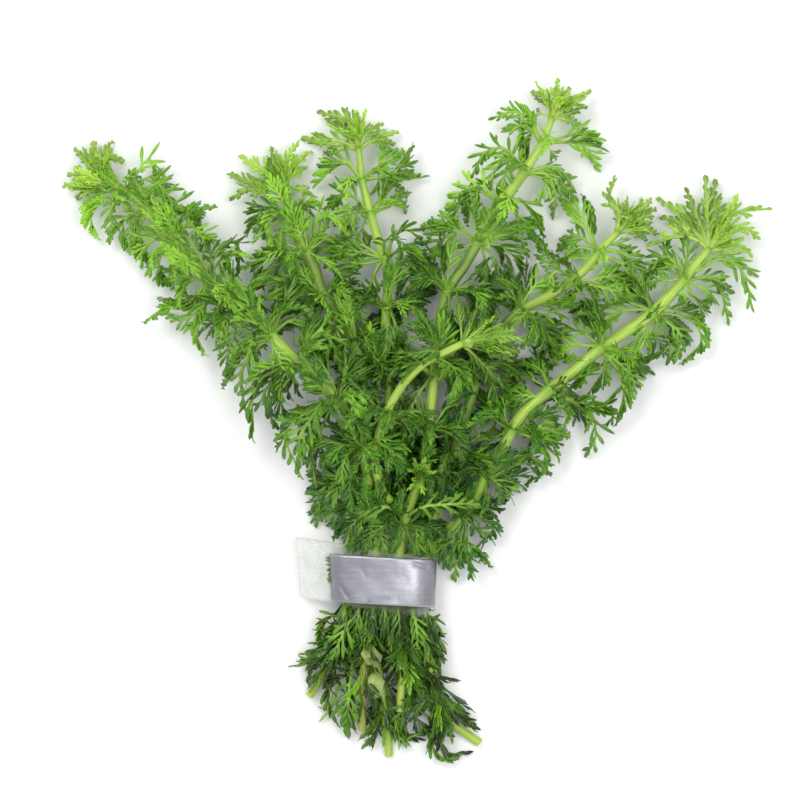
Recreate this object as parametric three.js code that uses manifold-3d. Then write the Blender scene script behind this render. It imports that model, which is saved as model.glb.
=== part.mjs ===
import * as THREE from 'three';
import { mergeVertices } from 'three/addons/utils/BufferGeometryUtils.js';
import Module from 'manifold-3d';

// A lying bunch of rice paddy herb: six cut stems and one side shoot with whorls of divided,
// recurved leaves, held by a soft metal weight strip wound over a strip of foam.
// Millimetres. The bunch lies on the plane z = 0. All places are measured from the middle of the
// weight strip, x to the right and y towards the leafy end, and the group moves them at the end.

// Weight strip, an open oval ring seen along the stems, and the foam wound inside it
const STRIP_BREADTH = 12.7;
const STRIP_THICKNESS = 0.9;
const STRIP_HALF_WIDTH = 14;
const STRIP_HALF_HEIGHT = 5.8;
const STRIP_FLAT = 0.3;
const STRIP_SKEW = -0.056;
const STRIP_FLARE = 0.0037;
const OVAL_POWER = 0.72;
const OVAL_STEPS = 28;
const SEAM_HALF_ANGLE = 0.16;
const FOAM_BREADTH = 16;
const FOAM_THICKNESS = 1.2;
const FOAM_TAIL_THICKNESS = 1.8;
const FOAM_CLEARANCE = 0.48;
const FOAM_SKEW = -0.16;
const FOAM_START_ANGLE = 0.4;
const FOAM_END_ANGLE = 0.08;
const FOAM_STEPS = 22;
const FOAM_TAIL = [[-13.4, 5.45], [-17.5, 4.7], [-21.8, 3.2]];

// Stems, and the clasping leaf bases round them. A joint has leaves that grow straight out of the stem.
const STEM_SIDES = 6;
const RADIUS_PLACES = [0, 0.12, 0.7, 1];
const COLLAR_WALL = 1;
const COLLAR_HALF_LENGTH = 1.1;
const JOINT_HALF_LENGTH = 1.1;

// Leaves: how far along the stations are, and the half width and ridge height there, for a leaf of
// full length. The last station is the tip. Wild leaves do without the narrow place in the middle.
const STATIONS = [
  { share: 0.14, halfWidth: 0.5, ridge: 0.8 },
  { share: 0.4, halfWidth: 2.3, ridge: 0.8 },
  { share: 0.58, halfWidth: 1, ridge: 0.7 },
  { share: 0.76, halfWidth: 1.6, ridge: 0.6 },
  { share: 1, halfWidth: 0, ridge: 0.2 },
];
const WILD_STATIONS = [...STATIONS.slice(0, 2), ...STATIONS.slice(3)];
const FULL_LEAF = 13;
const LEAF_SCALES = [0.5, 1.1];

// Drawn leaves: their arch, the height of their tips as a share of their stem's height, the slope
// they start at and how far they roll to one side, each from the least to the most
const ARCHES = [0.6, 2.2];
const TIP_HEIGHTS = [0.2, 0.9];
const START_SLOPES = [-0.4, 0.6];
const ROLLS = [-0.45, 0.45];

// Wild leaves: the angle to the stem where they start and where they end, how much they droop, how
// far they turn their faces up, and the least and most of their length as a share of the reach
const OPEN_ANGLE = 0.95;
const CURL_ANGLE = 2.5;
const LEAF_DROOP = 0.7;
const FACE_UP = 1.2;
const WILD_LENGTHS = [0.8, 1.1];

// What a leaf tries where it would run through another piece: a lift of its middle, of which its tip
// takes a share, or a turn round the stem
const LIFTS = [0, 2, -1.5, 4, 6];
const TIP_LIFT = 0.4;
const TURNS = [0, 0.35, -0.35, 0.7, -0.7];

// Where a leaf bends too sharply for its breadth it is made slimmer, by this share and so many times.
// The rings of a leaf keep at least this far apart, in millimetres.
const SLIMMER = 0.75;
const SLIM_TIMES = 8;
const RING_GAP = 0.12;

// How many of the nearest sockets a leaf tries to grow from
const ROOTS_TRIED = 3;

// How far apart the numbers are that leaves, whorls and shoots take their chance from
const LEAF_SEEDS = 10;
const WHORL_SEEDS = 100;
const WILD_SEEDS = 600;
const SHOOT_SEEDS = 1000;

// A whorl with this many wild leaves has them all round the stem, the others have them on top
const ROUND_WHORL = 4;
const UPPER_SPREAD = 2.4;

// The free space between neighbours, the overlap in cubic millimetres that counts as none, how
// close two points of one surface are the same point, and the bunch's middle from the strip's
const GAP = 0.3;
const TOUCH = 1e-4;
const SAME_POINT = 1e-4;
const BUNCH_MIDDLE = [8.8, 41.8, 0];

const STEM_GREEN = 0x9fc246;
const TIP_GREEN = 0x86be34;
const LEAF_GREEN = 0x357f22;
const FOOT_GREEN = 0x1f4d1c;
const STRIP_GREY = 0x9a9ba4;
const FOAM_WHITE = 0xd9dfd8;

// From this whorl down all leaves have the full green
const DARK_WHORL = 4;

// Each shoot from its tip to its cut end: the radii at the tip, below it, in the strip and at the
// cut, the route of the middle line, and the whorls. A whorl has the place where it sits, how long
// its wild leaves are and how many it has, and the plan points of the leaves that shape its outline.
// Whorls have a clasping ring of their own, and those called joints are one piece with the stem.
const SHOOTS = [
  {
    name: 'stem_1',
    radii: [1, 1.6, 1.42, 1.05],
    route: [
      [-71.5, 104.5, 7], [-67.5, 102.5, 7], [-62, 98, 7.5], [-55.5, 90.5, 8.5], [-47.5, 82, 10],
      [-39, 73.5, 13], [-31, 66, 16], [-21.5, 56.5, 19], [-12.5, 48, 19.5], [-7, 39.5, 18.5],
      [-4.5, 31, 16], [-3, 21.5, 12.5], [-2, 11, 8.8], [-2, 1.5, 7.4], [-3, -7.5, 7.4],
      [-4, -15.5, 7.4], [-5, -23.5, 7], [-5.5, -31.5, 5.2], [-5.5, -39.5, 2.6],
    ],
    whorls: [
      {
        at: [-71.5, 104.5], reach: 11, wild: 2, place: 'tip',
        leaves: [
          [-77.5, 111, -81, 113.5], [-76, 111.5, -76.5, 115.5], [-74, 111, -72, 115.5],
          [-77.5, 107.5, -82.5, 107], [-77, 105.5, -84, 104], [-76, 105, -80.5, 101],
          [-73.5, 111.5, -69, 111],
        ],
      },
      {
        at: [-67.5, 102.5], reach: 12, wild: 2,
        leaves: [
          [-73, 102.5, -75.5, 102, -78, 98], [-74.5, 99.5, -77, 95.5, -75.5, 91.5],
          [-71.5, 98.5, -71.5, 94.5, -72, 90], [-64.5, 108, -61.5, 111, -59, 106],
          [-62.5, 106, -59.5, 106, -56.5, 104], [-61.5, 103.5, -57.5, 102, -56.5, 98.5],
        ],
      },
      {
        at: [-62, 98], reach: 13, wild: 2,
        leaves: [
          [-57.5, 99.5, -52.5, 98.5, -48.5, 97.5], [-56.5, 97, -51.5, 96, -49, 92.5],
          [-64.5, 94.5, -66.5, 91, -67, 87], [-64, 92.5, -63, 88, -61, 84],
          [-68, 95.5, -68.5, 92.5, -67.5, 88.5],
        ],
      },
      {
        at: [-53.5, 89], reach: 14, wild: 3,
        leaves: [
          [-50, 92, -47, 91.5, -44.5, 90], [-58, 86.5, -59, 82.5, -55.5, 78],
          [-60, 90, -63.5, 87, -63.5, 84], [-55, 83, -54, 77.5, -51, 74],
        ],
      },
      {
        at: [-45, 80], reach: 14, wild: 2,
        leaves: [
          [-45, 85.5, -41, 89.5, -38, 88, -38, 81.5], [-50.5, 74, -55.5, 73, -62, 69],
          [-49.5, 74.5, -53.5, 74, -58, 74.5], [-49, 71, -53.5, 68.5, -57.5, 70.5],
          [-47, 70, -49.5, 66, -47.5, 61],
        ],
      },
      {
        at: [-37, 72], reach: 14, wild: 3,
        leaves: [
          [-41.5, 68.5, -42.5, 64.5, -43, 61], [-32, 74, -26, 74, -22, 71],
          [-39, 65.5, -40.5, 61, -41.5, 55], [-42.5, 74, -47, 72.5, -48.5, 68],
        ],
      },
      {
        at: [-29, 64.5], reach: 14, wild: 3,
        leaves: [
          [-35, 62, -38.5, 56.5, -41.5, 51.5], [-34, 60.5, -37.5, 54, -36.5, 46],
          [-24.5, 68.5, -20.5, 67.5, -19, 62],
        ],
      },
      {
        at: [-21.5, 56.5], reach: 15, wild: 2,
        leaves: [
          [-28.5, 56, -34, 49.5, -34, 38], [-27, 54, -31.5, 48.5, -28.5, 41.5],
          [-25.5, 52, -27, 47.5, -25, 43.5], [-19.5, 63, -15, 65.5, -10.5, 55],
        ],
      },
      {
        at: [-12, 48], reach: 15, wild: 2,
        leaves: [
          [-18.5, 45.5, -23.5, 42.5, -27.5, 35], [-20.5, 44, -25.5, 38, -21.5, 28],
          [-18.5, 43, -22, 37, -22, 31.5], [-16.5, 43.5, -19.5, 36.5, -17.5, 26],
          [-14.5, 44, -17, 36.5, -15, 27.5], [-7.5, 51, -4.5, 48, -3.5, 42.5],
        ],
      },
      {
        at: [-5.5, 34.5], reach: 15, wild: 3,
        leaves: [
          [-11.5, 39, -16, 40.5, -17.5, 32], [-9.5, 32.5, -14, 32, -10, 29.5],
          [-8.5, 28.5, -12, 27, -15, 27],
        ],
      },
      {
        at: [-2.5, 16.5], reach: 12, wild: 2, place: 'joint',
        leaves: [
          [-6.5, 19.5, -10, 18, -11.5, 13], [-6, 15.5, -9.5, 14.5, -12.5, 11.5],
          [-5, 12.5, -7.5, 10, -10.5, 9], [1, 19.5, 3.5, 21.5, 5, 19],
        ],
      },
      {
        at: [-5.2, -26.5], reach: 12, wild: 0, place: 'joint',
        leaves: [
          [-8.5, -28, -10, -33, -9.5, -39.5], [-9, -25, -12.5, -26.5, -15, -31],
          [-2.5, -28.5, -2, -33, -3.5, -37], [-8, -29.5, -8.5, -34, -7.5, -38.5],
        ],
      },
    ],
  },
  {
    name: 'stem_2',
    radii: [1.1, 1.7, 1.42, 1.1],
    route: [
      [-26, 103.5, 6], [-24.5, 97, 6], [-22, 90, 6], [-18.5, 83, 6.5], [-16.5, 76.5, 7],
      [-11.5, 69.5, 7.5], [-7, 61.5, 8], [-5.5, 50.5, 8], [-6.5, 37, 7.5], [-8, 24, 6.2],
      [-8.5, 12, 4.6], [-8, 1.5, 4.2], [-9.5, -7.5, 4.2], [-12, -15.5, 4], [-15.5, -24, 3.2],
      [-19.5, -30.5, 1.6],
    ],
    whorls: [
      {
        at: [-26, 103.5], reach: 11, wild: 2, place: 'tip',
        leaves: [
          [-33.5, 105, -40.5, 107], [-33, 103, -36, 103.5, -39.5, 101], [-31, 108, -37, 111.5],
          [-28.5, 109, -29.5, 114], [-26, 110, -22.5, 115.5], [-24, 108.5, -19.5, 113],
          [-24, 107, -20.5, 109], [-22, 103.5, -18.5, 101.5],
        ],
      },
      {
        at: [-24, 97], reach: 12, wild: 2,
        leaves: [
          [-29.5, 98.5, -33, 96.5, -35, 92.5], [-29, 96, -31.5, 94, -31, 91],
          [-30.5, 92.5, -29, 90, -31, 87],
        ],
      },
      {
        at: [-19.5, 87], reach: 14, wild: 1,
        leaves: [
          [-24.5, 88.5, -31, 85.5, -37.5, 82], [-26.5, 86, -31.5, 84, -31.5, 78.5],
          [-26, 86.5, -22, 84, -21.5, 82], [-18.5, 93, -16, 97, -10, 94.5, -11, 89],
          [-15.5, 90, -11.5, 91, -8.5, 94.5],
        ],
      },
      {
        at: [-14.5, 74.5], reach: 13, wild: 3,
        leaves: [
          [-19, 77.5, -24.5, 79, -29, 77], [-20.5, 75, -26, 73.5, -29, 69],
          [-10, 73.5, -6.5, 71.5, -4.5, 66.5],
        ],
      },
      {
        at: [-8.5, 62], reach: 15, wild: 4,
        leaves: [
          [-14, 64.5, -18, 64, -19.5, 58], [-5, 59, -1.5, 57.5, 0.5, 52.5],
        ],
      },
      {
        at: [-8, 24], reach: 14, wild: 2,
        leaves: [
          [-11, 25.5, -16, 24, -17.5, 16], [-10.5, 24.5, -13, 24, -12.5, 19],
          [-8.5, 26, -8.5, 23, -10, 19], [-10, 19.5, -12.5, 18, -15.5, 16.5],
          [-9, 17.5, -9.5, 15, -14, 14.5],
        ],
      },
      {
        at: [-12, -15.5], reach: 13, wild: 3, place: 'foot',
        leaves: [
          [-13, -11.5, -14, -15, -15, -17], [-14.5, -18, -18, -19.5, -19.5, -26],
          [-15, -22.5, -17.5, -22.5, -20.5, -21.5], [-13, -25, -14.5, -31.5, -12.5, -36.5],
          [-9.5, -26.5, -9.5, -34.5, -9, -40.5],
        ],
      },
      {
        at: [-10.2, -9.7], reach: 11, wild: 0, place: 'joint',
        leaves: [
          [-14, -9.5, -16, -13, -16.5, -18], [-12.5, -12.5, -13, -17, -12, -21],
          [-8, -13, -8.5, -17.5, -7, -21],
        ],
      },
    ],
  },
  {
    name: 'stem_3',
    radii: [0.8, 1.2, 1.42, 1.05],
    route: [
      [-6.5, 114, 8], [-5.5, 105.5, 8], [-3.5, 97.5, 8], [-1.5, 90.5, 8], [1, 83.5, 8], [1, 74, 8],
      [0.5, 62, 8.5], [1.5, 49.5, 8.5], [2.5, 37, 8], [0.5, 24, 6.3], [-3, 11.5, 4.6],
      [-4, 1.5, 4.2], [-4, -7.5, 4.2], [-2.5, -18, 3.8], [-0.5, -28.5, 3], [1, -38, 2],
      [1.5, -46.5, 1.3],
    ],
    whorls: [
      {
        at: [-6.5, 114], reach: 11, wild: 1, place: 'tip',
        leaves: [
          [-8.5, 121, -16.5, 123.5], [-10, 118.5, -14.5, 121.5], [-12.5, 116, -20.5, 116.5],
          [-11.5, 114, -15.5, 112.5], [-6, 118.5, -7, 123.5], [-4.5, 117.5, -0.5, 120.5],
          [-2, 116.5, 3.5, 118.5], [-2.5, 116, 2.5, 115.5],
        ],
      },
      {
        at: [-5.5, 105.5], reach: 12, wild: 2,
        leaves: [
          [-9.5, 110, -13.5, 108.5, -17, 105], [-9, 110, -12.5, 110.5, -16, 109.5],
          [-2.5, 108.5, -1, 106, -2.5, 103], [0.5, 106.5, 3.5, 108.5, 6.5, 113.5],
        ],
      },
      {
        at: [-3, 97], reach: 12, wild: 2,
        leaves: [
          [-7, 100.5, -10.5, 102, -14, 98.5], [-7, 98, -9.5, 97, -12, 94.5],
          [0.5, 101.5, 4.5, 105.5, 11, 106.5], [1.5, 98.5, 4.5, 100.5, 5.5, 98],
          [0, 102, 3, 104, 5.5, 102.5],
        ],
      },
      {
        at: [0.5, 85], reach: 14, wild: 1,
        leaves: [
          [-4.5, 88, -10, 89, -16.5, 87], [-5.5, 86.5, -11, 87, -14.5, 83.5],
          [-4.5, 83.5, -10.5, 83.5, -12, 78], [-2, 81.5, -4, 77, -8.5, 77],
          [2.5, 90, 6.5, 92.5, 11.5, 88], [4, 87, 8, 88, 11.5, 84],
        ],
      },
      {
        at: [1, 71.5], reach: 14, wild: 4,
        leaves: [
          [-2.5, 76, -4.5, 76.5, -6, 74], [5.5, 74, 8.5, 74, 11, 70.5],
        ],
      },
      {
        at: [1.5, 54], reach: 15, wild: 5,
        leaves: [],
      },
      {
        at: [0, -31.5], reach: 12, wild: 2, place: 'foot',
        leaves: [
          [3, -35.5, 4.5, -42, 8.5, -41], [-3, -34.5, -2, -37.5, -0.5, -40.5],
        ],
      },
      {
        at: [2.2, 33.5], reach: 13, wild: 4, place: 'joint',
        leaves: [
          [6, 34.5, 8, 32, 6.5, 27], [-1.5, 34, -4, 31.5, -3.5, 27],
        ],
      },
      {
        at: [-3.4, -11.5], reach: 11, wild: 0, place: 'joint',
        leaves: [
          [-0.5, -15, 1, -19, 0, -23.5], [-6, -15.5, -7.5, -19.5, -6.5, -24],
          [-3, -17, -3.5, -21.5, -2.5, -26],
        ],
      },
    ],
  },
  {
    name: 'stem_4',
    radii: [0.8, 1.4, 1.42, 1.05],
    route: [
      [44.5, 122, 9], [42, 115.5, 9], [37, 107.5, 9], [31, 99, 9], [26.5, 92, 9], [22, 84, 9.5],
      [17, 76, 10.5], [14.5, 65.5, 12], [13.5, 54, 13.5], [12, 42.5, 14], [11, 29.5, 13],
      [8, 22.5, 12], [6, 17, 11], [4.5, 9.5, 8.8], [4, 1.5, 7.4], [4.5, -7.5, 7.4], [5.5, -16, 7.4],
      [5, -25.5, 6.6], [4.5, -34.5, 5],
    ],
    whorls: [
      {
        at: [44.5, 122], reach: 11, wild: 1, place: 'tip',
        leaves: [
          [45.5, 126.5, 46, 132], [43.5, 126.5, 39.5, 129], [47.5, 126.5, 49, 130],
          [48.5, 125, 54, 129], [48.5, 123, 53.5, 125], [48, 121.5, 52, 120.5],
          [41.5, 123, 38.5, 122.5],
        ],
      },
      {
        at: [42, 115.5], reach: 12, wild: 1,
        leaves: [
          [39, 121, 34.5, 123.5, 29, 122], [38, 121.5, 36, 123, 33, 124],
          [37.5, 120.5, 37, 117, 37.5, 109.5], [39.5, 118.5, 38.5, 115.5, 38.5, 112],
          [46.5, 116.5, 51, 117.5, 56.5, 116.5], [48.5, 115.5, 54, 115, 57.5, 114],
          [49.5, 115.5, 54, 113.5, 56.5, 109], [44, 113.5, 45.5, 111.5],
        ],
      },
      {
        at: [37, 108], reach: 13, wild: 1,
        leaves: [
          [32.5, 113.5, 27, 113, 23.5, 107], [32.5, 111, 29.5, 108, 28.5, 103.5],
          [33.5, 111, 32, 106, 31.5, 102], [42.5, 109, 46.5, 108.5, 50.5, 103.5],
          [43.5, 107.5, 47, 105, 50.5, 101.5], [43, 107, 45.5, 101.5, 45, 96],
          [43, 105.5, 42, 103, 41.5, 101],
        ],
      },
      {
        at: [31, 99.5], reach: 14, wild: 1,
        leaves: [
          [26, 104, 21, 102.5, 17.5, 98.5], [26.5, 103, 22, 101, 18, 95.5],
          [25.5, 102.5, 23, 99.5, 22.5, 95], [34.5, 101, 38, 98.5, 41.5, 92],
          [34, 98.5, 36, 94.5, 39, 90.5], [27.5, 97.5, 26, 96, 25, 93.5],
        ],
      },
      {
        at: [25, 89], reach: 14, wild: 1,
        leaves: [
          [21, 93, 16, 94, 11, 93], [21, 91.5, 15.5, 90, 12.5, 85], [22, 88, 17.5, 87, 16, 84],
          [31, 91, 35.5, 90.5, 38, 86], [30.5, 88.5, 34, 86, 36, 83], [33, 93, 38, 93.5, 41.5, 88.5],
        ],
      },
      {
        at: [17, 76], reach: 15, wild: 4,
        leaves: [
          [12.5, 79.5, 7.5, 80.5, 4.5, 76], [21.5, 77.5, 26, 75.5, 28, 70.5],
        ],
      },
      {
        at: [13.5, 54], reach: 15, wild: 5,
        leaves: [],
      },
      {
        at: [11.5, 39.5], reach: 15, wild: 3,
        leaves: [
          [16.5, 45.5, 21, 50, 25.5, 57.5], [15.5, 37, 18, 41.5, 24, 43],
        ],
      },
      {
        at: [10.4, 28], reach: 11, wild: 3, place: 'joint',
        leaves: [
          [6.5, 31, 3, 31, 1, 27.5], [14.5, 29.5, 17.5, 28, 17.5, 22.5],
          [9, 24.5, 8.5, 21.5, 10.5, 18.5],
        ],
      },
      {
        at: [5.4, 14.5], reach: 12, wild: 2, place: 'joint',
        leaves: [
          [1.5, 18, -1.5, 21.5, -4.5, 20.5], [9.5, 17.5, 14.5, 19.5, 20, 17.5],
          [1, 14, -3, 13.5, -6, 9.5], [9.5, 13.5, 13, 14, 15, 10], [8, 11, 11.5, 10, 13.5, 7.8],
        ],
      },
      {
        at: [4.8, -11], reach: 11, wild: 0, place: 'joint',
        leaves: [
          [8, -12, 10.5, -15.5, 11, -21], [6.5, -14.5, 8.5, -19, 8, -24],
          [2.5, -14.5, 2.5, -19, 1.5, -23.5], [4, -15, 4.5, -20, 5, -25],
        ],
      },
    ],
  },
  {
    name: 'stem_5',
    radii: [0.8, 1.3, 1.42, 1.1],
    route: [
      [62, 92, 8], [58, 88, 8], [54, 83, 8], [49.5, 79, 8], [43.5, 75, 8], [36.5, 71.5, 8],
      [31, 66, 8], [26.5, 58, 8], [23, 47.5, 8], [19.5, 37, 8], [16.5, 25.5, 7], [12.5, 15.5, 5.6],
      [7.5, 7.5, 4.5], [2.5, 1, 4.2], [3.5, -7.5, 4.1], [6, -18, 3.8], [9, -28.5, 3],
    ],
    whorls: [
      {
        at: [62, 92], reach: 10, wild: 1, place: 'tip',
        leaves: [
          [62, 97.5, 59.5, 100.5, 61, 106], [64.5, 96, 64, 100], [66.5, 97, 68, 100.5],
          [67.5, 96.5, 70.5, 100.5], [68, 95.5, 71.5, 98], [68, 93, 72, 91.5], [66, 92, 69.5, 90],
        ],
      },
      {
        at: [56.5, 87], reach: 12, wild: 1,
        leaves: [
          [54.5, 93.5, 53.5, 97.5, 52.5, 101], [53.5, 93.5, 51.5, 97, 48, 99.5],
          [53, 90, 49.5, 91, 46.5, 88], [61, 87, 65, 85, 68, 83], [62, 84, 65.5, 83, 66, 77.5],
          [58.5, 84, 59, 80.5, 57, 76.5], [59.5, 88.5, 62.5, 89, 65, 87],
        ],
      },
      {
        at: [49.5, 78.5], reach: 13, wild: 1,
        leaves: [
          [56, 79.5, 61, 80.5, 64.5, 78.5], [56.5, 77.5, 62.5, 76, 67.5, 74.5],
          [45.5, 83, 43, 85.5, 41.5, 89], [45.5, 81.5, 43.5, 77.5, 44.5, 73.5],
          [52, 76, 53.5, 73.5, 52, 69.5],
        ],
      },
      {
        at: [36, 71], reach: 14, wild: 2,
        leaves: [
          [42.5, 73.5, 47.5, 74.5, 51, 77], [44.5, 71, 49, 73, 52.5, 72.5],
          [40.5, 68.5, 44.5, 66, 42.5, 58.5], [34, 76, 31, 79, 27, 78.5],
          [38.5, 76, 41.5, 79, 45.5, 78.5],
        ],
      },
      {
        at: [26, 57], reach: 15, wild: 5,
        leaves: [],
      },
      {
        at: [18, 32], reach: 15, wild: 4,
        leaves: [],
      },
      {
        at: [7.5, -21], reach: 13, wild: 2, place: 'foot',
        leaves: [
          [11.5, -13, 14.5, -18, 14, -26.5], [11, -16, 13, -21, 12.5, -26.5],
          [5.5, -11, 4, -8, 5, -15.5], [10, -25.5, 14, -29, 16.5, -33],
        ],
      },
      {
        at: [15, 21.5], reach: 13, wild: 4, place: 'joint',
        leaves: [
          [17.5, 25, 18, 29, 16, 33], [18.5, 22, 21.5, 20, 22, 15.5],
          [12, 23.5, 10, 21, 10.5, 16.5],
        ],
      },
    ],
  },
  {
    name: 'stem_6',
    radii: [1, 1.55, 1.42, 1.15],
    route: [
      [86, 87.5, 8], [82.5, 83.5, 8], [79.5, 79.5, 8], [71.5, 71, 8], [64.5, 66, 8], [57, 61, 8.5],
      [50.5, 55.5, 9], [43.5, 50, 9.5], [36, 43, 9.5], [31.5, 35, 9], [27, 27, 8.5],
      [22.5, 19.5, 7.2], [16, 11.5, 5.6], [8.5, 1.5, 4.2], [8.5, -7.5, 4.2], [11, -17, 4],
      [14, -27.5, 3.4], [18, -37, 2.6], [25.5, -43, 1.5],
    ],
    whorls: [
      {
        at: [86, 87.5], reach: 12, wild: 1, place: 'tip',
        leaves: [
          [91, 96, 95.5, 97.5, 101.5, 98], [85.5, 96.5, 85, 106], [87, 96.5, 87.5, 105],
          [83, 95.5, 80, 103], [81, 95.5, 73, 100.5], [82, 92, 78, 94.5, 74, 95.5], [90.5, 96, 93.5, 101.5],
          [90.5, 93, 95.5, 93, 99, 90.5], [81, 90.5, 76.5, 90.5, 71, 88.5],
          [90.5, 87.5, 94, 88.5, 97, 86],
        ],
      },
      {
        at: [79.5, 79.5], reach: 14, wild: 1,
        leaves: [
          [87, 85.5, 93, 85, 98, 81], [87, 84.5, 94, 82.5, 97.5, 72.5], [85.5, 80, 89, 78.5, 92, 76.5],
          [85, 80, 89, 76.5, 91, 69], [83.5, 77.5, 86.5, 76, 85.5, 73],
          [81.5, 75, 83.5, 72.5, 84, 68.5], [77, 84, 73, 85, 68.5, 77], [76, 81.5, 73, 82, 69, 79],
          [79.5, 76, 79, 74.5, 78.5, 73.5],
        ],
      },
      {
        at: [71, 71], reach: 14, wild: 1,
        leaves: [
          [66, 73, 61, 73.5, 55.5, 69], [67, 71.5, 61, 70.5, 56.5, 65.5],
          [74.5, 72, 79.5, 71, 83.5, 69], [75, 70.5, 81.5, 68.5, 84, 63, 79.5, 58],
          [73, 66.5, 75.5, 62, 69.5, 59], [71, 66, 67, 63, 67.5, 59], [75, 68, 78.5, 64.5, 77.5, 59],
        ],
      },
      {
        at: [58, 61], reach: 14, wild: 2,
        leaves: [
          [62.5, 57, 66, 52.5, 65.5, 47], [61.5, 56, 63.5, 49.5, 61.5, 42], [58.5, 55.5, 58, 51],
          [54, 64.5, 50.5, 66, 46.5, 64.5], [53, 62, 48, 62, 44.5, 57],
        ],
      },
      {
        at: [44.5, 49.5], reach: 14, wild: 1,
        leaves: [
          [42.5, 53, 41.5, 55.5, 39.5, 58], [40.5, 52.5, 36, 54.5, 32, 53.5],
          [50.5, 47, 57, 46, 62, 50.5], [50.5, 46.5, 55, 44, 56, 37.5, 54, 33.5],
          [46.5, 46, 48.5, 44.5, 48, 41.5], [56.5, 45.5, 60.5, 43.5, 59, 41.5],
        ],
      },
      {
        at: [34, 39.5], reach: 14, wild: 2,
        leaves: [
          [39, 42, 43, 43, 45.5, 41.5], [40.5, 40.5, 44.5, 39.5, 48.5, 38.5],
          [39, 39, 44, 37, 46, 32.5], [38.5, 38, 42.5, 35.5, 43, 31],
        ],
      },
      {
        at: [27, 27], reach: 14, wild: 2,
        leaves: [
          [32, 31.5, 38.5, 33, 43, 29, 38.5, 26], [32.5, 29.5, 37.5, 31, 40.5, 28],
          [31.5, 26.5, 34.5, 27.5, 37, 29], [30.5, 25.5, 32.5, 23.5, 28.5, 21],
        ],
      },
      {
        at: [21, 18], reach: 14, wild: 1,
        leaves: [
          [25.5, 17, 29, 14, 27.5, 11.5], [24, 14.5, 27, 12, 25.5, 9.5], [22, 11, 25, 8.5, 28, 5],
          [20.5, 10.5, 23, 5.5, 23.5, 1.5], [18.5, 10.5, 19, 5.5, 19, 1], [25, 19, 29, 19.5, 32, 23.5],
        ],
      },
      {
        at: [14, -28], reach: 13, wild: 1, place: 'foot',
        leaves: [
          [12.5, -26, 16.5, -31.5, 21, -35], [11, -32, 8.5, -35.5, 12.5, -41.5],
          [14, -37, 13, -43.5, 16, -47, 19.5, -46.5], [8, -31.5, 5, -35.5, 6.5, -40.5],
          [17, -32.5, 19.5, -33, 21, -35.5],
        ],
      },
      {
        at: [9.3, -10.5], reach: 11, wild: 0, place: 'joint',
        leaves: [
          [12.5, -9.5, 14, -12.5, 14.5, -18.5], [12, -12, 14, -17, 13.5, -24.5],
        ],
      },
    ],
  },
  {
    name: 'side_stem',
    radii: [0.9, 1.1, 1.1, 1.2],
    route: [
      [21, 62.5, 20], [15, 59.5, 21], [10.5, 57, 21.5], [5.5, 52, 21.5], [0.5, 43.5, 21],
      [-1.5, 37, 20], [-2, 31, 18.5], [-0.5, 24.5, 15.8], [2, 21, 13.4],
    ],
    whorls: [
      {
        at: [21, 62.5], reach: 14, wild: 0, place: 'tip',
        leaves: [
          [28, 64.5, 36.5, 64], [28, 63.5, 35.5, 62], [27.5, 62.5, 35, 60.5], [27, 61.5, 33.5, 58],
          [26.5, 64.5, 34, 66],
        ],
      },
      {
        at: [13.5, 59.5], reach: 14, wild: 3,
        leaves: [
          [9, 60.5, 6, 58.5, 3.5, 54.5], [17, 56.5, 21, 55.5, 23, 52],
        ],
      },
      {
        at: [0, 43.5], reach: 14, wild: 3,
        leaves: [
          [-4.5, 46.5, -8, 47, -9.5, 44], [4, 41.5, 7.5, 40.5, 9, 36],
        ],
      },
    ],
  },
];

// A repeatable number from 0 to 1 for each whole number, and one that lies in a range
function chance(n) {
  const value = Math.sin(n * 12.9898 + 4.1) * 43758.5453;
  return value - Math.floor(value);
}

function within([least, most], n) {
  return THREE.MathUtils.lerp(least, most, chance(n));
}

// Closed surface through rings of one size. The last ring may be a single point, or the rings may
// close on the first one.
function wall(low, high, size) {
  const faces = [];
  for (let i = 0; i < size; i += 1) {
    const next = (i + 1) % size;
    faces.push([low + i, low + next, high + next], [low + i, high + next, high + i]);
  }
  return faces;
}

function loft(rings) {
  const size = rings[0].length;
  const faces = [];
  for (let i = 1; i < size - 1; i += 1) {
    faces.push([0, i + 1, i]);
  }
  for (let r = 0; r < rings.length - 1; r += 1) {
    faces.push(...wall(r * size, (r + 1) * size, size));
  }
  const last = (rings.length - 1) * size;
  for (let i = 1; i < size - 1; i += 1) {
    faces.push([last, last + i, last + i + 1]);
  }
  return { points: rings.flat(), faces };
}

// The same for triangles that run out to a point
function pointed(rings) {
  const faces = [[0, 2, 1]];
  for (let r = 0; r < rings.length - 2; r += 1) {
    faces.push(...wall(3 * r, 3 * r + 3, 3));
  }
  const last = 3 * (rings.length - 2);
  const tip = last + 3;
  faces.push([last, last + 1, tip], [last + 1, last + 2, tip], [last + 2, last, tip]);
  return { points: rings.flat(), faces };
}

// Joining and cutting
const wasm = await Module();
wasm.setup();

function toSolid({ points, faces }) {
  const geometry = new THREE.BufferGeometry().setFromPoints(points);
  geometry.setIndex(faces.flat());
  return mergedSolid(geometry);
}

function mergedSolid(geometry) {
  const merged = mergeVertices(geometry, SAME_POINT);
  const vertProperties = new Float32Array(merged.attributes.position.array);
  const triVerts = new Uint32Array(merged.index.array);
  return new wasm.Manifold(new wasm.Mesh({ numProp: 3, vertProperties, triVerts }));
}

function toGeometry(solid) {
  const mesh = solid.getMesh();
  const geometry = new THREE.BufferGeometry();
  geometry.setAttribute('position', new THREE.Float32BufferAttribute(mesh.vertProperties, 3));
  geometry.setIndex(Array.from(mesh.triVerts));
  geometry.computeVertexNormals();
  return geometry;
}

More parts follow.
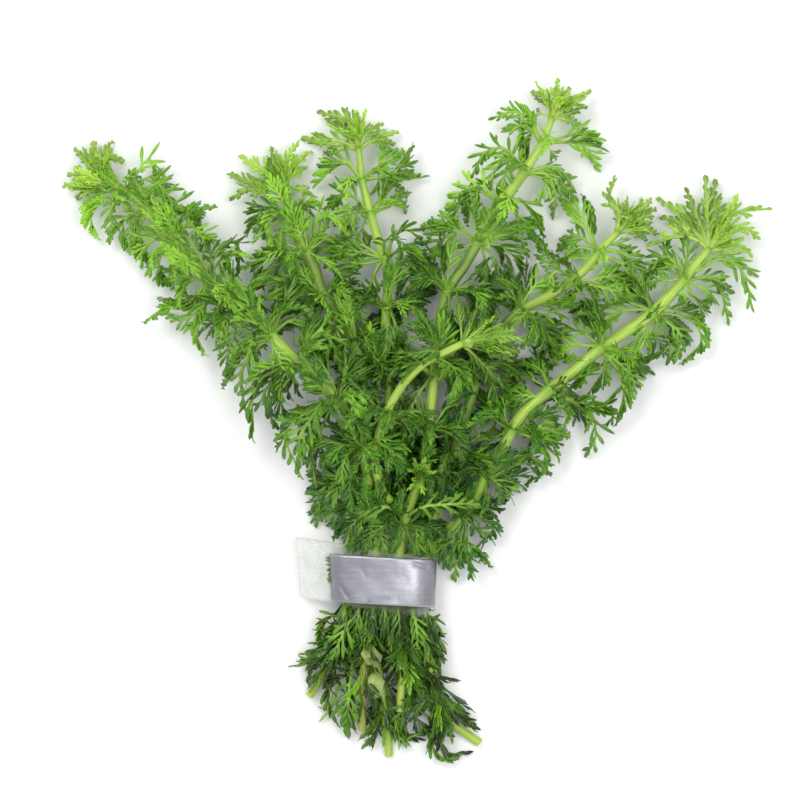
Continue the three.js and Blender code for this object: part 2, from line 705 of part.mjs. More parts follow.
function join(solids) {
  return solids.reduce((sum, solid) => sum.add(solid));
}

// The largest piece left after cutting
function largest(solid) {
  return solid.decompose().reduce((best, piece) => (piece.volume() > best.volume() ? piece : best));
}

// Stems
function ringAround(centre, direction, radius) {
  const side = new THREE.Vector3(-direction.y, direction.x, 0).normalize();
  const up = new THREE.Vector3().crossVectors(direction, side);
  const ring = [];
  for (let i = 0; i < STEM_SIDES; i += 1) {
    const angle = (i / STEM_SIDES) * 2 * Math.PI;
    const point = centre.clone().addScaledVector(side, radius * Math.cos(angle));
    ring.push(point.addScaledVector(up, radius * Math.sin(angle)));
  }
  return ring;
}

function stemLine(shoot) {
  const points = shoot.route.map((place) => new THREE.Vector3(...place));
  const travelled = [0];
  for (let i = 1; i < points.length; i += 1) {
    travelled.push(travelled[i - 1] + points[i].distanceTo(points[i - 1]));
  }
  const length = travelled.at(-1);
  return { points, length, shares: travelled.map((way) => way / length) };
}

function radiusAt(shoot, share) {
  const next = Math.max(RADIUS_PLACES.findIndex((place) => place >= share), 1);
  const part = (share - RADIUS_PLACES[next - 1]) / (RADIUS_PLACES[next] - RADIUS_PLACES[next - 1]);
  return THREE.MathUtils.lerp(shoot.radii[next - 1], shoot.radii[next], part);
}

function isJoint(whorl) {
  return whorl.place === 'joint';
}

// The places of a stem's rings: its route's points, and one on each side of its joints
function stemSections(shoot) {
  const { points, length, shares } = stemLine(shoot);
  const last = points.length - 1;
  const half = JOINT_HALF_LENGTH / length;
  const bases = shoot.whorls.filter(isJoint).map(({ at }) => whorlBase(shoot, at));
  const free = (share) => bases.every((base) => Math.abs(base.share - share) > 2 * half);
  const sections = [];
  points.forEach((point, i) => {
    const direction = points[Math.min(i + 1, last)].clone().sub(points[Math.max(i - 1, 0)]).normalize();
    if (free(shares[i])) {
      sections.push({ centre: point.clone(), direction, share: shares[i] });
    }
  });
  for (const { centre, toTip, share } of bases) {
    const direction = toTip.clone().negate();
    const above = centre.clone().addScaledVector(toTip, JOINT_HALF_LENGTH);
    const below = centre.clone().addScaledVector(toTip, -JOINT_HALF_LENGTH);
    sections.push({ centre: above, direction, share: share - half, atJoint: true });
    sections.push({ centre: below, direction, share: share + half });
  }
  return sections.sort((a, b) => a.share - b.share);
}

// A stem, with the wall triangles of its joints as the sockets that leaves can grow from
function stemMesh(shoot, extra) {
  const sections = stemSections(shoot);
  sections[0].centre.addScaledVector(sections[0].direction, -extra);
  sections.at(-1).centre.addScaledVector(sections.at(-1).direction, extra);
  const rings = sections.map(({ centre, direction, share }) => {
    return ringAround(centre, direction, radiusAt(shoot, share) + extra);
  });
  const { points, faces } = loft(rings);
  const sockets = sections.flatMap(({ atJoint }, i) => {
    const first = STEM_SIDES - 2 + 2 * STEM_SIDES * i;
    return atJoint ? faces.slice(first, first + 2 * STEM_SIDES) : [];
  });
  return { points, faces, sockets };
}

// The nearest place on a stem, seen in plan: how far along it is, its radius, and the way to the tip
function whorlBase(shoot, at) {
  const { points, shares } = stemLine(shoot);
  const ways = points.slice(1).map((point, i) => point.clone().sub(points[i]));
  let best = { distance: Infinity };
  ways.forEach((way, i) => {
    const forward = (at[0] - points[i].x) * way.x + (at[1] - points[i].y) * way.y;
    const part = THREE.MathUtils.clamp(forward / (way.x * way.x + way.y * way.y), 0, 1);
    const centre = points[i].clone().addScaledVector(way, part);
    const distance = Math.hypot(centre.x - at[0], centre.y - at[1]);
    if (distance < best.distance) {
      const share = THREE.MathUtils.lerp(shares[i], shares[i + 1], part);
      const radius = radiusAt(shoot, share);
      const next = THREE.MathUtils.clamp(part > 0.5 ? i + 1 : i - 1, 0, ways.length - 1);
      const toTip = way.clone().normalize().lerp(ways[next].clone().normalize(), Math.abs(part - 0.5));
      best = { distance, centre, share, radius, toTip: toTip.negate().normalize() };
    }
  });
  return best;
}

// The rings of a leaf blade: a flat underside and a ridge, wide and narrow by turns where the pairs
// of lobes are. Nothing goes below the surface that the bunch lies on.
function bladeRings(stations, extra) {
  const way = stations.at(-1).point.distanceTo(stations[0].point);
  const scale = THREE.MathUtils.clamp(way / FULL_LEAF, ...LEAF_SCALES);
  return stations.map((station, i) => {
    const { point, direction, face } = station;
    const up = face.clone().addScaledVector(direction, -face.dot(direction)).normalize();
    const side = new THREE.Vector3().crossVectors(direction, up);
    const halfWidth = station.halfWidth * scale + extra;
    const height = station.ridge + extra;
    const ridge = point.clone().addScaledVector(up, height);
    const tip = i === stations.length - 1 && extra === 0;
    const low = point.clone().addScaledVector(up, -extra);
    const left = low.clone().addScaledVector(side, -halfWidth);
    const right = low.clone().addScaledVector(side, halfWidth);
    left.z = Math.max(left.z, 0);
    right.z = Math.max(right.z, 0);
    ridge.z = Math.max(ridge.z, height);
    return tip ? [ridge] : [left, ridge, right];
  });
}

// A leaf through chosen plan points, arched and then let down towards the surface
function drawnLeaf(base, plan, seed, lift) {
  const low = base.centre.z * within(TIP_HEIGHTS, seed);
  const arch = within(ARCHES, seed + 1) + lift;
  const count = plan.length / 2;
  const points = [];
  for (let i = 0; i < count; i += 1) {
    const share = (i + 1) / count;
    const rise = arch * Math.sin(Math.PI * share) + TIP_LIFT * lift;
    const height = THREE.MathUtils.lerp(base.centre.z, low, share * share) + rise;
    points.push(new THREE.Vector3(plan[2 * i], plan[2 * i + 1], Math.max(height, 0)));
  }
  const outward = points[0].clone().sub(base.centre);
  outward.z += within(START_SLOPES, seed + 3) * outward.length() + lift;
  outward.addScaledVector(base.toTip, -outward.dot(base.toTip)).normalize();
  const start = base.centre.clone().addScaledVector(outward, base.outside);
  const curve = new THREE.CatmullRomCurve3([start, ...points], false, 'catmullrom', 0.5);
  const roll = within(ROLLS, seed + 2);
  return STATIONS.map((station) => {
    const direction = curve.getTangent(station.share);
    const face = new THREE.Vector3(-roll * direction.y, roll * direction.x, 1);
    return { ...station, point: curve.getPoint(station.share), direction, face };
  });
}

// The direction at an angle between two others that stand square to each other
function between(first, second, angle) {
  return first.clone().multiplyScalar(Math.cos(angle)).addScaledVector(second, Math.sin(angle));
}

// A wild leaf: it leaves the stem at an angle, opens, curls back and droops
function wildLeaf(base, turn, length) {
  const side = new THREE.Vector3(-base.toTip.y, base.toTip.x, 0).normalize();
  const up = new THREE.Vector3().crossVectors(base.toTip, side);
  const out = between(up, side, turn);
  const point = base.centre.clone().addScaledVector(out, base.outside);
  const stations = [];
  let before = 0;
  for (const station of WILD_STATIONS) {
    const { share } = station;
    const angle = THREE.MathUtils.lerp(OPEN_ANGLE, CURL_ANGLE, share);
    const direction = between(base.toTip, out, angle);
    direction.z -= LEAF_DROOP * share;
    direction.normalize();
    point.addScaledVector(direction, length * (share - before));
    point.z = Math.max(point.z, 0);
    before = share;
    const face = between(base.toTip, out, angle - Math.PI / 2);
    face.z += FACE_UP * (1 - Math.abs(out.z));
    stations.push({ ...station, point: point.clone(), direction, face });
  }
  return stations;
}

// The clasping leaf bases: a ring with a gap round the stem, closed over the stem's end at a tip
function collarMesh(base) {
  const inner = base.radius + GAP;
  const profile = [
    [-COLLAR_HALF_LENGTH, base.outside],
    [COLLAR_HALF_LENGTH, base.outside],
    [base.atTip ? GAP : COLLAR_HALF_LENGTH, inner],
    [-COLLAR_HALF_LENGTH, inner],
  ];
  const rings = profile.map(([way, radius]) => {
    return ringAround(base.centre.clone().addScaledVector(base.toTip, way), base.toTip, radius);
  });
  const faces = wall(0, STEM_SIDES, STEM_SIDES);
  const cover = (low, turned) => {
    for (let i = 1; i < STEM_SIDES - 1; i += 1) {
      faces.push(turned ? [low, low + i, low + i + 1] : [low, low + i + 1, low + i]);
    }
  };
  if (base.atTip) {
    cover(STEM_SIDES, true);
    cover(2 * STEM_SIDES, false);
  } else {
    faces.push(...wall(STEM_SIDES, 2 * STEM_SIDES, STEM_SIDES));
  }
  faces.push(...wall(2 * STEM_SIDES, 3 * STEM_SIDES, STEM_SIDES));
  faces.push(...wall(3 * STEM_SIDES, 0, STEM_SIDES));
  return { points: rings.flat(), faces, sockets: faces.slice(0, 2 * STEM_SIDES) };
}

function middleOf(points, face) {
  return face.reduce((sum, i) => sum.add(points[i]), new THREE.Vector3()).divideScalar(face.length);
}

function planeOf([a, b, c]) {
  return new THREE.Plane().setFromCoplanarPoints(a, b, c);
}

// Whether the stretch between two rings of a leaf is sound: all of one ring stands in front of the
// other, and the walls between them face away from the stretch's middle
function isSound(low, high) {
  const points = [...low, ...high];
  const ahead = high.every((point) => planeOf(low).distanceToPoint(point) > RING_GAP);
  const atTip = high.length === 1;
  const behind = atTip || low.every((point) => planeOf(high).distanceToPoint(point) < -RING_GAP);
  const walls = atTip ? [[0, 1, 3], [1, 2, 3], [2, 0, 3]] : wall(0, 3, 3);
  const middle = middleOf(points, [...points.keys()]);
  return ahead && behind && walls.every((face) => {
    return planeOf(face.map((i) => points[i])).distanceToPoint(middle) < 0;
  });
}

function turned(ring, turn) {
  return ring.map((_, i) => ring[(i + turn) % ring.length]);
}

// The free sockets that a leaf can grow from, the nearest first, and how its first ring is turned to
// fit: those that leave the stretch between them sound
function rootsFor({ points, sockets }, first) {
  const roots = sockets.flatMap((socket) => {
    const root = socket.map((i) => points[i]);
    return [...first.keys()].map((turn) => {
      const ring = turned(first, turn);
      const span = root.reduce((sum, point, i) => sum + point.distanceTo(ring[i]), 0);
      return { socket, root, ring, turn, span };
    });
  });
  return roots
    .filter(({ root, ring }) => isSound(root, ring))
    .sort((a, b) => a.span - b.span)
    .slice(0, ROOTS_TRIED);
}

// Makes a leaf slimmer next to the stretches that aren't sound, until all are. Without success it
// gives null.
function soundStations(stations, ringsOf) {
  let slimmed = stations;
  for (let time = 0; time < SLIM_TIMES; time += 1) {
    const rings = ringsOf(slimmed, 0);
    const sound = rings.slice(1).map((ring, i) => isSound(rings[i], ring));
    if (sound.every(Boolean)) {
      return slimmed;
    }
    slimmed = slimmed.map((station, i) => {
      const fits = sound[i] && sound[i + 1] !== false;
      return fits ? station : { ...station, halfWidth: station.halfWidth * SLIMMER };
    });
  }
  return null;
}

// Grows a leaf out of one socket of a whorl. It is left out if it can't be made sound, or if it would
// run through what it grows from, another leaf of the whorl or anything in taken.
function growFrom({ socket, root, turn }, whorlMesh, leaf, grown, taken) {
  const middle = middleOf(root, [...root.keys()]);
  const ringsOf = (stations, extra) => {
    const start = root.map((point) => {
      return point.clone().add(point.clone().sub(middle).setLength(2 * extra));
    });
    return [start, ...bladeRings(stations, extra).map((ring) => turned(ring, turn))];
  };
  const stations = soundStations(leaf, ringsOf);
  if (!stations) {
    return null;
  }
  const shape = pointed(ringsOf(stations, 0));
  const solid = toSolid(shape);
  const meets = (other) => solid.intersect(other).volume() > TOUCH;
  if (grown.some(meets) || taken.some(meets)) {
    return null;
  }
  const added = whorlMesh.points.length - socket.length;
  const rename = (i) => (i < socket.length ? socket[i] : added + i);
  whorlMesh.points.push(...shape.points.slice(socket.length));
  whorlMesh.faces = whorlMesh.faces.filter((face) => face !== socket);
  whorlMesh.faces.push(...shape.faces.slice(1).map((face) => face.map(rename)));
  whorlMesh.sockets = whorlMesh.sockets.filter((face) => face !== socket);
  grown.push(solid);
  return toSolid(loft(ringsOf(stations, GAP)));
}

// Grows a leaf out of the first socket that lets it, as it is or straight out to its widest place
function growLeaf(whorlMesh, leaf, grown, taken) {
  for (const stations of [leaf, leaf.slice(1)]) {
    for (const root of rootsFor(whorlMesh, bladeRings(stations, 0)[0])) {
      const fatLeaf = growFrom(root, whorlMesh, stations, grown, taken);
      if (fatLeaf) {
        return fatLeaf;
      }
    }
  }
  return null;
}

// The oval of the weight strip, at a depth below its outside, flat where it lies
function oval(depth, angle) {
  const c = Math.cos(angle);
  const s = Math.sin(angle);
  const x = (STRIP_HALF_WIDTH - depth) * Math.sign(c) * Math.abs(c) ** OVAL_POWER;
  const rise = (STRIP_HALF_HEIGHT - depth) * Math.sign(s) * Math.abs(s) ** OVAL_POWER;
  return new THREE.Vector2(x, Math.max(STRIP_HALF_HEIGHT + rise, STRIP_FLAT + depth) - STRIP_FLAT);
}

function ovalPoints(depth, start, end, steps) {
  return Array.from({ length: steps + 1 }, (_, i) => oval(depth, start + ((end - start) * i) / steps));
}

// An outline in x and z, drawn out along the stems and laid askew as the soft strip lies
function drawnOut(outline, breadth, skew) {
  const options = { depth: breadth, bevelEnabled: false };
  const geometry = new THREE.ExtrudeGeometry(new THREE.Shape(outline), options);
  geometry.rotateX(Math.PI / 2).translate(0, breadth / 2, 0);
  const places = geometry.attributes.position;
  for (let i = 0; i < places.count; i += 1) {
    const y = places.getY(i) + skew * places.getX(i);
    places.setXYZ(i, places.getX(i) * (1 + STRIP_FLARE * y), y, places.getZ(i));
  }
  geometry.deleteAttribute('normal');
  geometry.deleteAttribute('uv');
  return mergedSolid(geometry);
}

function stripSolid() {
  const start = -Math.PI + SEAM_HALF_ANGLE;
  const end = Math.PI - SEAM_HALF_ANGLE;
  const outside = ovalPoints(0, start, end, OVAL_STEPS);
  const inside = ovalPoints(STRIP_THICKNESS, start, end, OVAL_STEPS).reverse();
  return drawnOut([...outside, ...inside], STRIP_BREADTH, STRIP_SKEW);
}

// The foam runs once round inside the strip, and its tail comes out through the strip's seam
function foamSolid() {
  const middle = STRIP_THICKNESS + FOAM_CLEARANCE + FOAM_THICKNESS / 2;
  const wound = ovalPoints(middle, -Math.PI + FOAM_START_ANGLE, Math.PI - FOAM_END_ANGLE, FOAM_STEPS);
  const line = [...wound, ...FOAM_TAIL.map((place) => new THREE.Vector2(...place))];
  const outer = [];
  const inner = [];
  line.forEach((point, i) => {
    const before = line[Math.max(i - 1, 0)];
    const after = line[Math.min(i + 1, line.length - 1)];
    const normal = new THREE.Vector2(after.y - before.y, before.x - after.x).normalize();
    const thickness = i < wound.length ? FOAM_THICKNESS : FOAM_TAIL_THICKNESS;
    outer.push(point.clone().addScaledVector(normal, thickness / 2));
    inner.unshift(point.clone().addScaledVector(normal, -thickness / 2));
  });
  return drawnOut([...outer, ...inner], FOAM_BREADTH, FOAM_SKEW);
}

// The space that leaves keep out of: the strip with all it holds, and the foam's tail
function heldSpace() {
  const outside = ovalPoints(-GAP, 0, 2 * Math.PI, OVAL_STEPS);
  const hold = drawnOut(outside, STRIP_BREADTH + 2 * GAP, STRIP_SKEW);
  const inside = ovalPoints(STRIP_THICKNESS, 0, 2 * Math.PI, OVAL_STEPS);
  const foam = drawnOut(inside, FOAM_BREADTH + 2 * GAP, FOAM_SKEW);
  const high = FOAM_TAIL[0][1] + FOAM_TAIL_THICKNESS;
  const reach = FOAM_TAIL.at(-1)[0] - 2 * GAP;
  const corners = [[reach, 0], [0, 0], [0, high], [reach, high]];
  const beside = corners.map((place) => new THREE.Vector2(...place));
  const tail = drawnOut(beside, FOAM_BREADTH + 2 * GAP, FOAM_SKEW);
  return join([hold, foam, tail]);
}

// One whorl: the leaves drawn in plan, and then the wild ones between them. They grow out of a collar
// round the stem or, at a joint, out of the stem.
function growWhorl(stem, whorl, seed, taken) {
  const base = whorlBase(stem.shoot, whorl.at);
  base.atTip = whorl.place === 'tip';
  base.outside = base.radius + (isJoint(whorl) ? 0 : COLLAR_WALL);
  const whorlMesh = isJoint(whorl) ? stem.mesh : collarMesh(base);
  const grown = [toSolid(whorlMesh)];
  const ends = [-COLLAR_HALF_LENGTH - GAP, COLLAR_HALF_LENGTH + GAP].map((way) => {
    const centre = base.centre.clone().addScaledVector(base.toTip, way);
    return ringAround(centre, base.toTip, base.outside + GAP);
  });
  const fat = [toSolid(loft(ends))];
  const tryLeaf = (leaf) => {
    const fatLeaf = growLeaf(whorlMesh, leaf, grown, taken);
    if (fatLeaf) {
      fat.push(fatLeaf);
    }
    return fatLeaf !== null;
  };
  whorl.leaves.forEach((plan, i) => {
    LIFTS.some((lift) => tryLeaf(drawnLeaf(base, plan, seed + LEAF_SEEDS * i, lift)));
  });
  if (base.centre.y < 0) {
    base.toTip.negate();
  }
  const spread = whorl.wild >= ROUND_WHORL ? 2 * Math.PI : UPPER_SPREAD;
  for (let i = 0; i < whorl.wild; i += 1) {
    const turn = ((i + 0.5) / whorl.wild - 0.5) * spread;
    const length = whorl.reach * within(WILD_LENGTHS, seed + WILD_SEEDS + i);
    TURNS.some((more) => tryLeaf(wildLeaf(base, turn + more, length)));
  }
  return { whorlMesh, fat: join(fat) };
}

// The bunch, put together: each whorl gives way to the stems and to the whorls made before it, and the
// joints come last
const bunch = new THREE.Group();
bunch.position.set(...BUNCH_MIDDLE).negate();

function addPiece(name, solid, color, roughness, metalness) {
  const material = new THREE.MeshStandardMaterial({ color, roughness, metalness });
  const mesh = new THREE.Mesh(toGeometry(solid), material);
  mesh.name = name;
  bunch.add(mesh);
}

const stems = SHOOTS.map((shoot) => {
  return { shoot, mesh: stemMesh(shoot, 0), fat: toSolid(stemMesh(shoot, GAP)) };
});
addPiece('weight_strip', stripSolid(), STRIP_GREY, 0.35, 0.9);
const foam = foamSolid().subtract(join(stems.map(({ fat }) => fat)));
addPiece('foam_strip', largest(foam), FOAM_WHITE, 0.8, 0);

const whorls = SHOOTS.flatMap((shoot, s) => shoot.whorls.map((whorl, w) => ({ whorl, s, w })));
whorls.sort((a, b) => isJoint(a.whorl) - isJoint(b.whorl) || a.w - b.w || a.s - b.s);
const taken = [heldSpace()];
for (const { whorl, s, w } of whorls) {
  const others = isJoint(whorl) ? stems.filter((stem) => stem !== stems[s]) : stems;
  const near = others.map(({ fat }) => fat);
  const seed = SHOOT_SEEDS * s + WHORL_SEEDS * w;
  const { whorlMesh, fat } = growWhorl(stems[s], whorl, seed, [...near, ...taken]);
  taken.push(fat);
  if (!isJoint(whorl)) {
    const age = Math.min(w / DARK_WHORL, 1);
    const color = new THREE.Color(TIP_GREEN).lerp(new THREE.Color(LEAF_GREEN), age);
    if (whorl.place === 'foot') {
      color.set(FOOT_GREEN);
    }
    addPiece(`${whorl.place ?? `whorl_${w}`}_leaves_${s + 1}`, toSolid(whorlMesh), color, 0.45, 0);
  }
}
for (const { shoot, mesh } of stems) {
  addPiece(shoot.name, toSolid(mesh), STEM_GREEN, 0.4, 0);
}

export default bunch;
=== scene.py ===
"""A lying bunch of rice paddy herb: cut stems with whorls of divided leaves, in a weight strip over foam.

The leaves are meshes of one closed skin each, joined whorl by whorl. Lengths in the tables are in
millimetres, measured from the middle of the weight strip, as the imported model's source has them.
"""

import math

import bpy
import numpy as np
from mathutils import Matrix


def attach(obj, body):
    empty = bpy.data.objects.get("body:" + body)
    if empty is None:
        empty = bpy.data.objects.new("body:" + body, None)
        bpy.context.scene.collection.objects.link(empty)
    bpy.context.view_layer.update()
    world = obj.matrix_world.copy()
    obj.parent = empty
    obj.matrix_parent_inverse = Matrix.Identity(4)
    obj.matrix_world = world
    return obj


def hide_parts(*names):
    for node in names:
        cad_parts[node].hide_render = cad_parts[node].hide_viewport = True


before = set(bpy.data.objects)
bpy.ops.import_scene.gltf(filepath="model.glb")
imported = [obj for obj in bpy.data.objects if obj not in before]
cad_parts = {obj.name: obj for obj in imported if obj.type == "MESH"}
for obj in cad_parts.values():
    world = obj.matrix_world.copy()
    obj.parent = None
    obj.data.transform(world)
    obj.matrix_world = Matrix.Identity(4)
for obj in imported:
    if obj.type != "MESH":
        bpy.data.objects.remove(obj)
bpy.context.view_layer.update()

# A millimetre in metres, the middle of the bunch, where the frame starts, and the way up
MM = 0.001
BUNCH_MIDDLE = np.array([8.8, 41.8, 0.0])
UP = np.array([0.0, 0.0, 1.0])

# The photograph: its size in pixels, the pixel in the middle of the weight strip and a pixel's size
PHOTO_SIZE = 800
STRIP_PIXEL = (383, 581)
PIXEL_MM = 0.2632

